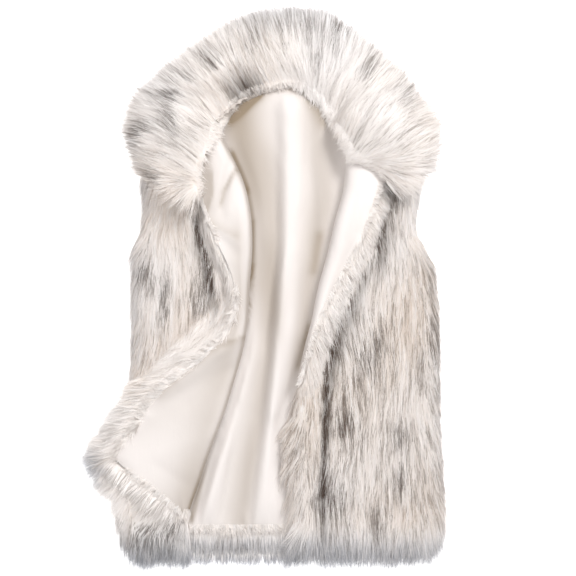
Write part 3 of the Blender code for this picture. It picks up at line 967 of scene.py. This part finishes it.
def dark_share(points, common):
    """How crowded the dark guard hairs are at each point, from 0 to 1; along the shade lines they are painted
    shade.
    """
    total = common + 0.12 * wave_field(points, 0.05, 3.1)
    uneven = 0.85 + 0.35 * wave_field(points, 0.016, 0.7)
    for x, y, across, along, strength in DARK_PLACES[1:]:
        total += strength * uneven * spot(points, x, y, 1.25 * across, 1.25 * along)
    # The shade lines add dark hairs as painted shade
    return np.clip(total + tone_at(points, DARK_LINES) * uneven, 0.0, 1.0)


def shade_share(points):
    """Painted shade at each point, from 0 to 1, that darkens the pile down to its roots: along the shade
    lines and at the shaded places.
    """
    total = 0.75 * tone_at(points, DARK_LINES)
    for x, y, across, along, strength in SHADED_PLACES[1:]:
        total = np.maximum(total, strength * spot(points, x, y, across, along))
    return total


def cool_share(points):
    """How grey and blue the tips are: most at the hem, some along the collar's edge."""
    y = points[:, 1] / MM
    hem = ease((-345 - y) / 50)
    collar_edge = ease((y - 350) / 50) * 0.4
    flap_corner = spot(points, -262, -268, 24, 28)
    return np.clip(hem + collar_edge + flap_corner + 0.12 * wave_field(points, 0.08, 0.9), 0.0, 1.0)


def warm_share(points):
    """How beige the pile is, in broad soft patches."""
    y = points[:, 1] / MM
    share = 0.30 + 0.25 * ease((180 - y) / 60) + 0.35 * wave_field(points, 0.09, 1.7)
    return np.clip(share * (1 - 0.85 * ease((-310 - y) / 40)), 0.0, 1.0)


def strand_shape():
    """One flat tapered strand of two spans, as a mesh that carries how each point moves."""
    along = np.array([0.0, 0.0, 0.5, 0.5, 1.0])
    side = np.array([-1.0, 1.0, -1.0, 1.0, 0.0])
    mesh = bpy.data.meshes.new("strand_shape")
    flat = [(a, s * 0.1, 0.0) for a, s in zip(along, side)]
    mesh.from_pydata(flat, [], [(0, 2, 3, 1), (2, 4, 3)])
    values = {
        "along": along,
        "run": 0.66 * along + 0.32 * along**2,
        "rise": along - 0.62 * along**2,
        "spread": side * np.array([1.0, 1.0, 0.85, 0.85, 0.0]),
        "gathered": along**1.3,
        "sway": np.array([0.0, 0.0, 0.7, 0.7, -0.4]),
    }
    for name, numbers in values.items():
        mesh.attributes.new(name, "FLOAT", "POINT").data.foreach_set("value", numbers)
    return link(bpy.data.objects.new("strand_shape", mesh))


PILE_SIZES = (
    ("Strands per square metre", "NodeSocketFloat", 300000.0),
    ("Longest strand", "NodeSocketFloat", 0.04),
    ("Root width", "NodeSocketFloat", 0.00075),
    ("Lift", "NodeSocketFloat", 0.5),
    ("Turn of tufts", "NodeSocketFloat", 0.12),
    ("Large tuft spacing", "NodeSocketFloat", 0.024),
    ("Large tuft pull", "NodeSocketFloat", 0.08),
    ("Small tuft spacing", "NodeSocketFloat", 0.0023),
    ("Small tuft pull", "NodeSocketFloat", 0.50),
    ("Thin streak width", "NodeSocketFloat", 0.0022),
    ("Broad streak width", "NodeSocketFloat", 0.010),
    ("Broad streak share", "NodeSocketFloat", 0.32),
    ("Seed", "NodeSocketInt", 1),
)


def pile_tree(strand, material):
    """Geometry nodes that grow a pile, whose strands follow the flow, gather in tufts and bend down."""
    tree = bpy.data.node_groups.new("long_pile", "GeometryNodeTree")
    tree.interface.new_socket("Geometry", in_out="INPUT", socket_type="NodeSocketGeometry")
    for name, kind, value in PILE_SIZES:
        tree.interface.new_socket(name, in_out="INPUT", socket_type=kind).default_value = value
    tree.interface.new_socket("Geometry", in_out="OUTPUT", socket_type="NodeSocketGeometry")
    sizes = add(tree, "NodeGroupInput").outputs
    named = {}
    for name, kind in (("flow", "FLOAT_VECTOR"), ("cover", "FLOAT"), ("pile", "FLOAT")):
        named[name] = add(tree, NAMED, {"data_type": kind}, Name=name).outputs[0]
    density = add(tree, MATH, TIMES, sizes["Strands per square metre"], named["cover"])
    roots = add(tree, SCATTER, Mesh=sizes["Geometry"], Density=density, Seed=sizes["Seed"])
    place = add(tree, "GeometryNodeInputPosition").outputs[0]

    # Each strand leans to the middle of a small tuft and a large one
    gather, tuft_turns, lock = None, [], None
    for order, size in enumerate(("Large", "Small")):
        gap = sizes[size + " tuft spacing"]
        apart = add(tree, MATH, TIMES, gap, gap)
        per_area = add(tree, MATH, DIVIDED, 1.0, apart)
        seed = add(tree, MATH, PLUS, sizes["Seed"], 11.0 + order)
        middles = add(tree, SCATTER, Mesh=sizes["Geometry"], Density=per_area, Seed=seed)
        nearest = add(tree, "GeometryNodeSampleNearest", Geometry=middles)
        where = add(tree, SAMPLE, VECTORS, Geometry=middles, Value=place, Index=nearest)
        chance = add(tree, RANDOM, NUMBERS, Seed=21 + order)
        chosen = add(tree, SAMPLE, NUMBERS, Geometry=middles, Value=chance.outputs[1], Index=nearest)
        towards = add(tree, VECTOR_MATH, MINUS, where, place)
        pulled = add(tree, VECTOR_MATH, SCALED, towards, Scale=sizes[size + " tuft pull"])
        if gather is None:
            gather = pulled.outputs[0]
        else:
            gather = add(tree, VECTOR_MATH, PLUS, gather, pulled).outputs[0]
            lock = where.outputs[0]
        tuft_turns.append(add(tree, MATH, MINUS, chosen, 0.5))

    # Dye follows the pile in thin and in broader streaks, so noise is averaged along the flow
    streaks = []
    for name in ("Thin", "Broad"):
        width = sizes[name + " streak width"]
        scale = add(tree, MATH, DIVIDED, 1.0, width)
        total = 0.0
        for step in (-3, -2, -1, 0, 1, 2, 3):
            apart = add(tree, MATH, TIMES, width, step * 3.0)
            moved = add(tree, VECTOR_MATH, SCALED, named["flow"], Scale=apart)
            sampled = add(tree, VECTOR_MATH, PLUS, lock, moved)
            noise = add(tree, NOISE, Vector=sampled, Scale=scale, Detail=0.0)
            total = add(tree, MATH, PLUS, noise.outputs["Fac"], total).outputs[0]
        even = add(tree, MAP_RANGE, Value=total, From_Min=3.0, From_Max=4.0)
        streaks.append(even.outputs[0])
    streak = add(tree, MIX, NUMBERS, sizes["Broad streak share"], in_2=streaks[0], in_3=streaks[1])

    # What is drawn by lot for each strand; the tone tells how light its hair is
    drawn = {}
    for name, seed, low, high in (
        ("turn", 31, -0.5, 0.5),
        ("length", 32, 0.60, 1.0),
        ("rise", 33, 0.55, 1.15),
        ("roll", 34, -0.45, 0.45),
        ("bend", 35, -0.02, 0.02),
        ("tone", 36, 0.0, 1.0),
    ):
        drawn[name] = add(tree, RANDOM, NUMBERS, Seed=seed, Min=low, Max=high).outputs[1]

    # Way, length and width of each strand
    tuft_turn = add(tree, MATH, PLUS, *tuft_turns)
    all_turn = add(tree, MATH, TIMES_PLUS, drawn["turn"], 0.3, tuft_turn)
    angle = add(tree, MATH, TIMES, all_turn, sizes["Turn of tufts"])
    up = roots.outputs[1]
    lay = add(tree, "ShaderNodeVectorRotate", ABOUT_AXIS, Vector=named["flow"], Axis=up, Angle=angle)
    # The dark guard hairs, those of low tone, are the longest
    guard = add(tree, MATH, TIMES_PLUS, drawn["tone"], -0.22, 1.0)
    # A few stray strands are much longer, which feathers the outline
    stray = add(tree, MATH, {"operation": "POWER"}, drawn["length"], 16.0)
    reach = add(tree, MATH, TIMES_PLUS, stray, 0.40, drawn["length"])
    for share in (guard, named["pile"], sizes["Longest strand"]):
        reach = add(tree, MATH, TIMES, reach, share)
    lifted = add(tree, MATH, TIMES, drawn["rise"], sizes["Lift"])
    height = add(tree, MATH, TIMES, lifted, reach)
    beside = add(tree, VECTOR_MATH, {"operation": "CROSS_PRODUCT"}, lay, up)
    rolled = add(tree, "ShaderNodeVectorRotate", ABOUT_AXIS, Vector=beside, Axis=lay, Angle=drawn["roll"])
    half = add(tree, MATH, TIMES, sizes["Root width"], 0.5)
    bend = add(tree, MATH, TIMES_PLUS, tuft_turn, 0.09, drawn["bend"])
    swing = add(tree, MATH, TIMES, bend, reach)
    stored = [("gathered_way", VECTORS, gather), ("root", VECTORS, place)]
    stored += [("tone", NUMBERS, drawn["tone"]), ("tuft", NUMBERS, streak)]
    for name, way, size in (
        ("run", lay, reach),
        ("rise", up, height),
        ("spread", rolled, half),
        ("sway", beside, swing),
    ):
        stored.append((name + "_way", VECTORS, add(tree, VECTOR_MATH, SCALED, way, Scale=size)))
    points = roots
    for name, kind, value in stored:
        points = add(tree, STORED, kind | {"domain": "POINT"}, Geometry=points, Name=name, Value=value)

    # Every point of every strand goes to its place
    copied = add(tree, "GeometryNodeObjectInfo", Object=strand)
    copies = add(tree, "GeometryNodeInstanceOnPoints", Points=points, Instance=copied.outputs["Geometry"])
    real = add(tree, "GeometryNodeRealizeInstances", Geometry=copies)
    goal = add(tree, NAMED, VECTORS, Name="root")
    gone = ["root", "flow", "cover", "pile"]
    for name in ("run", "rise", "spread", "sway", "gathered"):
        way = add(tree, NAMED, VECTORS, Name=name + "_way")
        amount = add(tree, NAMED, NUMBERS, Name=name)
        part = add(tree, VECTOR_MATH, SCALED, way, Scale=amount)
        goal = add(tree, VECTOR_MATH, PLUS, goal, part)
        gone += [name, name + "_way"]
    above = add(tree, VECTOR_MATH, {"operation": "MAXIMUM"}, goal, (-10.0, -10.0, 0.0006))
    placed = add(tree, "GeometryNodeSetPosition", Geometry=real, Position=above)
    for name in gone:
        placed = add(tree, "GeometryNodeRemoveAttribute", Geometry=placed, Name=name)
    smooth = add(tree, "GeometryNodeSetShadeSmooth", Geometry=placed)
    dyed = add(tree, "GeometryNodeSetMaterial", Geometry=smooth, Material=material)
    add(tree, "NodeGroupOutput", None, dyed)
    return tree


def twist_tree(material):
    """Geometry nodes that lay a flat binding along a curve and twist it."""
    tree = bpy.data.node_groups.new("twisted_binding", "GeometryNodeTree")
    tree.interface.new_socket("Geometry", in_out="INPUT", socket_type="NodeSocketGeometry")
    for name in ("Start", "Middle", "End"):
        tree.interface.new_socket(name, in_out="INPUT", socket_type="NodeSocketVector")
    for name, value in (("Width", 0.005), ("Thickness", 0.002), ("Turns", 4.0), ("Shade", 0.3)):
        tree.interface.new_socket(name, in_out="INPUT", socket_type="NodeSocketFloat").default_value = value
    tree.interface.new_socket("Geometry", in_out="OUTPUT", socket_type="NodeSocketGeometry")
    sizes = add(tree, "NodeGroupInput").outputs
    ends = {name: sizes[name] for name in ("Start", "Middle", "End")}
    path = add(tree, "GeometryNodeCurveQuadraticBezier", Resolution=70, **ends)
    part = add(tree, "GeometryNodeSplineParameter").outputs["Factor"]
    turns = add(tree, MATH, TIMES, sizes["Turns"], 2 * math.pi)
    angle = add(tree, MATH, TIMES, turns, part)
    tilted = add(tree, "GeometryNodeSetCurveTilt", Curve=path, Tilt=angle)
    ring = add(tree, "GeometryNodeCurvePrimitiveCircle", Resolution=10, Radius=0.5)
    flat = add(tree, "ShaderNodeCombineXYZ", None, sizes["Width"], sizes["Thickness"], 1.0)
    profile = add(tree, "GeometryNodeTransform", Geometry=ring, Scale=flat)
    swept = add(tree, "GeometryNodeCurveToMesh", Curve=tilted, Profile_Curve=profile, Fill_Caps=True)
    smooth = add(tree, "GeometryNodeSetShadeSmooth", Geometry=swept)
    real = add(tree, "GeometryNodeRealizeInstances", Geometry=smooth)
    on_points = NUMBERS | {"domain": "POINT"}
    # Painted shade: the binding's satin is darkened by the share given as Shade
    toned = add(tree, STORED, on_points, Geometry=real, Name="hollow", Value=sizes["Shade"])
    dressed = add(tree, "GeometryNodeSetMaterial", Geometry=toned, Material=material)
    add(tree, "NodeGroupOutput", None, dressed)
    return tree


def finished_by(obj, tree, values):
    """The object with the plain mesh that a tree makes of it."""
    made = obj.modifiers.new(tree.name, "NODES")
    made.node_group = tree
    for socket in tree.interface.items_tree:
        if socket.item_type == "SOCKET" and socket.name in values:
            made[socket.identifier] = values[socket.name]
    return with_plain_mesh(obj)


def on_cloth(x, y, lift):
    """A place on top of the vest, lifted a little; millimetres in, metres out."""
    tops = [top_at(tree, x * MM, y * MM) for tree in (ALL_SOLIDS, LINING_EDGES)]
    return (x * MM, y * MM, max(top[2] for top in tops if top is not None) + lift * MM)


def bare_share(node_name, points, normals):
    """1 where a solid's pile shows, 0 where another solid or the floor lies on it."""
    names = [name for name in SHELLS + LININGS if name != node_name]
    others = tree_of(names)
    layers = tree_of([name for name in names if "collar" not in name])
    collars = tree_of([name for name in names if "collar" in name])
    collar_probe = UNDER_COLLAR_PROBE if node_name == "under_collar" else COLLAR_PROBE
    share = np.ones(len(points))
    for k, (place, normal) in enumerate(zip(points, normals)):
        over = layers.ray_cast(place + normal * OFF_SURFACE, (0, 0, 1), TOP_PROBE)[0]
        over = over or collars.ray_cast(place + normal * OFF_SURFACE, (0, 0, 1), collar_probe)[0]
        beside = others.ray_cast(place + normal * OFF_SURFACE, normal, SIDE_PROBE)[0]
        if normal[2] < -0.45 or over is not None or beside is not None:
            share[k] = 0.0
    return share


def neck_facing():
    """The satin strip that joins the back's lining to the collar along the neck seam."""
    seam, edge = collar_ends("seam")[NAPE_LINES], collar_ends("edge")[NAPE_LINES]
    run = np.concatenate([[0], np.cumsum(np.linalg.norm(np.diff(seam, axis=0), axis=1))])
    steps = np.linspace(0, run[-1], 90)
    middle = np.column_stack([np.interp(steps, run, seam[:, k]) for k in (0, 1)])
    out = unit(np.column_stack([np.interp(steps, run, (edge - seam)[:, k]) for k in (0, 1)]))
    collar = tree_of(("under_collar",))
    rows = []
    for place, way in zip(middle, out):
        low, high = place - way * FACING_IN, place + way * FACING_OUT
        under, over = top_at(LINING_EDGES, *low), top_at(collar, *high)
        if under is None or over is None:
            continue
        foot, top = np.array((*low, under[2] - 0.0002)), np.array((*high, over[2] - 0.001))
        inner, outer = 0.72 * foot + 0.28 * top, 0.3 * foot + 0.7 * top
        rows.append([foot, inner + FACING_ARCH, outer + FACING_ARCH, top])
    points = np.array(rows).reshape(-1, 3)
    corners = [4 * row + k for row in range(len(rows) - 1) for k in range(3)]
    faces = [(first, first + 4, first + 5, first + 1) for first in corners]
    mesh = bpy.data.meshes.new("neck_facing")
    mesh.from_pydata([tuple(point) for point in points], [], faces)
    # Painted shade: the facing is darkened all along and most in the collar's dip
    set_field(mesh, "hollow", 0.25 + 0.6 * spot(points, -36, 266, 24, 24))
    mesh.materials.append(SATIN)
    obj = link(bpy.data.objects.new("neck_facing", mesh))
    wall = obj.modifiers.new("wall", "SOLIDIFY")
    wall.thickness = FACING_THICKNESS
    with_plain_mesh(obj).data.shade_smooth()
    return obj


def edge_cover(points, normals, low, high, table):
    """1 along a lining's sewn edge between two heights, 0 elsewhere and along a fold."""
    y = points[:, 1] / MM
    sewn = (np.abs(normals[:, 2]) < 0.7) & (y > low) & (y < high)
    if table:
        sewn &= band_place(points, table) < 1.15
    tree = search_tree(points[sewn])
    near = np.array([tree.find(place)[2] for place in points])
    return ease(2 - near / EDGE_PILE_REACH) * (normals[:, 2] > -0.2) * ease((high - y) / 60)


def facing_cover(points, normals):
    """1 on the upper side of the neck's facing, 0 where its binding shows."""
    return (normals[:, 2] > 0) * ease((points[:, 0] / MM + 22) / 12)


def edge_pile(piece_name, base, flow_of, sizes, cover_of):
    """Short white pile caught in the seam of a lining, lying outwards over the fur."""
    scalp = link(bpy.data.objects.new(piece_name, base.data.copy()))
    points, normals = points_of(scalp.data), normals_of(scalp.data)
    flow = flow_of(points, normals)
    flow -= normals * (flow * normals).sum(axis=1)[:, None]
    fields = {
        "cover": cover_of(points, normals),
        "pile": np.ones(len(points)),
        "cool": cool_share(points) * 0.5,
        "warm": np.full(len(points), 0.25),
        # Painted shade: roots darkened in uneven tufts draw the shadow line along the seam
        "shade": np.clip(0.05 + 0.17 * wave_field(points, 0.007, 2.6), 0.0, 1.0),
    }
    return dressed_with(scalp, fields, flow, sizes)


def dressed_with(scalp, fields, flow, sizes):
    """The pile that grows from an object with these fields on its points."""
    for name, numbers in fields.items():
        set_field(scalp.data, name, numbers)
    way = scalp.data.attributes.new("flow", "FLOAT_VECTOR", "POINT")
    way.data.foreach_set("vector", unit(flow).ravel())
    return finished_by(scalp, PILE, sizes)


def pile(node_name, piece_name, base, flow_of, sizes, common, fluff=False):
    """Fur grown from a backing, or the short fluff along its seam with the lining, as one finished mesh."""
    scalp = link(bpy.data.objects.new(piece_name, base.data.copy()))
    points, normals = points_of(scalp.data), normals_of(scalp.data)
    outside = finer_copy(node_name, "outside", 1)
    far, way = near_rim(points, *outer_rim(points_of(outside.data), normals_of(outside.data)))
    bpy.data.objects.remove(outside)
    longest = sizes["Longest strand"]
    shade = shade_share(points)
    from_lining = distance_to(points, LINING_EDGES)
    if fluff:
        flow = -flow_of(points, normals)
        flow[:, 2] -= FLUFF_DROOP
        length = 1 - FLUFF_SHORTER_IN_SHADE * shade
        reach = FLUFF_REACH * (1 + 0.5 * shoulder_share(points))
        cover = ease(1.3 - from_lining / reach) * (normals[:, 2] > -0.3)
        cover *= length_share(points, flow, FLUFF_ROOM) > 0.9
    else:
        flow = with_rim_way(points, flow_of(points, normals), far, way)
        length = length_share(points, flow, longest) * (1 - SHORTER_IN_SHADE * shade)
        cover = bare_share(node_name, points, normals)
    if node_name in BANDS:
        room = band_room(points, flow, node_name)
        length = np.minimum(length, np.maximum(room / longest, SHORTEST_ON_BAND))
    # On a side of the form the pile doesn't lie down along it, but leaves it outwards
    upright = normals[:, 2] ** 2
    flow[:, 2] -= 0.25 * upright
    flow -= normals * ((flow * normals).sum(axis=1) * (0.35 + 0.65 * upright))[:, None]
    flow = unit(flow)
    tips = points + TIP_SHARE * longest * flow
    off_band = 1 - 0.85 * on_white_band(points, node_name)
    if "collar" in node_name:
        off_band *= 0.45 + 0.55 * np.maximum(ease((from_lining - 0.004) / 0.035), shade)
    else:
        off_band *= 1 - 0.4 * np.exp(-far / 0.012)
    fields = {
        "cover": cover,
        "pile": length,
        "dark": dark_share(tips, common) * off_band * (FLUFF_DARK if fluff else 1.0),
        "cool": np.maximum(cool_share(tips), 0.55 * np.exp(-far / EDGE_COOL)),
        "warm": warm_share(points) * (0.4 + 0.6 * off_band),
        "shade": shade,
    }
    return dressed_with(scalp, fields, flow, sizes)


def pile_sizes(dense, longest, lift, seed, others):
    """What a pile tells its tree, others being sizes that differ from the tree's own."""
    sizes = {
        "Strands per square metre": dense * QUICK_SHARE,
        "Longest strand": longest,
        "Lift": lift,
        "Seed": seed,
    }
    return sizes | others


def on_root(piece):
    """Puts a finished piece on the vest's one body."""
    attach(piece, "root")


SATIN = lining_satin()
BACKING = knitted_backing()
FIBRE = long_pile()
STRAND = strand_shape()
PILE = pile_tree(STRAND, FIBRE)

LINING_FORMS = (
    ("node", "creases", "tones", "thin tones", "fold share"),
    ("back_lining", BACK_CREASES, BACK_TONES, FOLD_TONES, 1.7),
    ("right_front_lining", FLAP_CREASES, FLAP_TONES, FLAP_FOLD_TONES, 1.3),
    ("left_front_lining", LAPEL_CREASES, LAPEL_TONES, (), 1.3),
)
linings = {row[0]: lining(*row) for row in LINING_FORMS[1:]}
ALL_SOLIDS = tree_of(SHELLS)
LINING_EDGES = tree_of(LININGS)
QUICK_SHARE = 1.0
PILES = (
    ("node", "flow", "shrink", "strands per square metre", "longest", "lift", "common dark hairs", "seed"),
    ("back_shell", body_flow, 0.005, 900000.0, 0.034, 0.28, 0.04, 5),
    ("right_front_shell", right_flow, 0.008, 900000.0, 0.042, 0.28, 0.07, 7),
    ("left_front_shell", left_flow, 0.008, 575000.0, 0.044, 0.28, 0.22, 9),
    ("under_collar", collar_flow, 0.005, 500000.0, 0.034, 0.30, 0.12, 13),
    ("upper_collar", collar_flow, 0.009, 1020000.0, 0.046, 0.32, 0.10, 15),
)
FLUFFS = (
    ("node", "flow", "strands per square metre", "longest", "lift", "seed"),
    ("upper_collar", collar_flow, 2600000.0, 0.017, 0.35, 25),
)
EDGE_PILES = (
    ("node", "piece", "flow", "longest", "lift", "seed", "low", "high", "band"),
    ("right_front_lining", "right_front_edge_fluff", right_flow, 0.018, 0.38, 27, -345, 40, RIGHT_BAND),
    ("right_front_lining", "right_front_neck_fluff", right_flow, 0.009, 0.45, 31, -20, 230, RIGHT_BAND),
    ("left_front_lining", "left_front_edge_fluff", left_flow, 0.010, 0.45, 33, -420, 290, LEFT_BAND),
    ("back_lining", "back_hem_fluff", body_flow, 0.022, 0.35, 29, -420, -275, None),
)
backings, furs, fluffs = {}, {}, []
facing = neck_facing()
for name, flow_of, shrink, dense, longest, lift, common, seed in PILES[1:]:
    backings[name] = backing(name, shrink, flow_of)
    streaks = {"Broad streak share": 0.18} if "collar" in name else {}
    sizes = pile_sizes(dense, longest, lift, seed, streaks)
    furs[name] = pile(name, name.replace("_shell", "") + "_fur", backings[name], flow_of, sizes, common)
for name, flow_of, dense, longest, lift, seed in FLUFFS[1:]:
    sizes = pile_sizes(dense, longest, lift, seed, {"Turn of tufts": 0.9, "Small tuft pull": 0.0})
    fluffs.append((name, pile(name, name + "_seam_fluff", backings[name], flow_of, sizes, 0.0, fluff=True)))
for name, piece_name, flow_of, longest, lift, seed, low, high, band in EDGE_PILES[1:]:
    sizes = pile_sizes(EDGE_DENSITY, longest, lift, seed, {"Turn of tufts": 1.1})
    cover_of = partial(edge_cover, low=low, high=high, table=band)
    fluffs.append((name, edge_pile(piece_name, linings[name], flow_of, sizes, cover_of)))
sizes = pile_sizes(EDGE_DENSITY, 0.015, 0.40, 39, {"Turn of tufts": 0.8})
fluffs.append(("back_lining", edge_pile("neck_facing_fluff", facing, collar_flow, sizes, facing_cover)))
bpy.data.objects.remove(STRAND, do_unlink=True)
on_root(facing)

# Binding of the neck seam, twisted where the collar dips at the wearer's right, its satin darkened by painted
# shade
seam_twist = link(bpy.data.objects.new("neck_seam_twist", bpy.data.meshes.new("neck_seam_twist")))
twist_sizes = {
    "Start": on_cloth(-70, 238, 2.0),
    "Middle": on_cloth(-52, 262, 2.5),
    "End": on_cloth(-20, 283, 2.0),
    "Width": 0.0064,
    "Thickness": 0.0022,
    "Turns": 3.0,
    "Shade": 0.45,
}
on_root(finished_by(seam_twist, twist_tree(SATIN), twist_sizes))

for name in SHELLS:
    on_root(backings[name])
    on_root(furs[name])
    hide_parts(name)
for name, piece in fluffs:
    on_root(piece)
for name in LININGS:
    on_root(linings[name])
    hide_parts(name)

# Cut of what shows of each layer, metres, and the share of that rectangle that it fills
SHEETS = (
    ("node", "width", "length", "share", "rests on"),
    ("back_shell", 0.48, 0.70, 0.82, ("studio_floor",)),
    ("right_front_shell", 0.26, 0.65, 0.68, ("back_shell_backing",)),
    ("left_front_shell", 0.26, 0.66, 0.76, ("back_shell_backing",)),
    ("under_collar", 0.62, 0.12, 0.84, ("back_shell_backing",)),
    ("upper_collar", 0.62, 0.12, 0.85, ("under_collar_backing",)),
    ("back_lining", 0.43, 0.66, 0.84, ("back_shell_backing",)),
    ("right_front_lining", 0.20, 0.57, 0.46, ("right_front_shell_backing",)),
    ("left_front_lining", 0.13, 0.38, 0.43, ("left_front_shell_backing",)),
)
for name, width, length, share, rests_on in SHEETS[1:]:
    with_pieces = [furs[name]] if name in furs else []
    with_pieces += [piece for owner, piece in fluffs if owner == name]
    if name == "back_lining":
        with_pieces += [seam_twist, facing]

floor_mesh = bpy.data.meshes.new("studio_floor")
floor_mesh.from_pydata([(-6, -6, 0), (6, -6, 0), (6, 6, 0), (-6, 6, 0)], [], [(0, 1, 2, 3)])
studio_floor = link(bpy.data.objects.new("studio_floor", floor_mesh))
floor_mesh.materials.append(pale_floor())
studio_floor.location.z = -0.0005


def area_light(name, place, aim, size, power):
    """A round light that shines from one place at another."""
    data = bpy.data.lights.new(name, "AREA")
    data.shape = "DISK"
    data.size = size
    data.energy = power
    obj = link(bpy.data.objects.new(name, data))
    obj.location = place
    way = np.array(aim) - np.array(place)
    obj.rotation_euler = (math.acos(-way[2] / np.linalg.norm(way)), 0, math.atan2(way[0], -way[1]) + math.pi)


area_light("key_light", (1.2, 1.2, 2.0), (0, 0, 0), 1.0, KEY_POWER)
area_light("fill_light", (-0.7, 0.2, 2.6), (0, 0, 0), 1.6, FILL_POWER)
world = bpy.data.worlds.new("studio_air")
world.use_nodes = True
world.node_tree.nodes["Background"].inputs["Color"].default_value = linear("FFFCFA")
world.node_tree.nodes["Background"].inputs["Strength"].default_value = AIR_STRENGTH
bpy.context.scene.world = world
bpy.context.scene.view_settings.view_transform = "Standard"

# Straight above the middle of the photograph's frame, whose side is 835 mm at the height of the cloth
camera_data = bpy.data.cameras.new("photo_camera")
camera_data.sensor_width = SENSOR
camera_data.lens = LENS
camera = link(bpy.data.objects.new("photo_camera", camera_data))
camera.location = (0.0313, -0.0012, CLOTH_HEIGHT + FRAME_SIDE * LENS / SENSOR)
camera.rotation_euler = (0.0, 0.0, 0.0)
bpy.context.scene.camera = camera
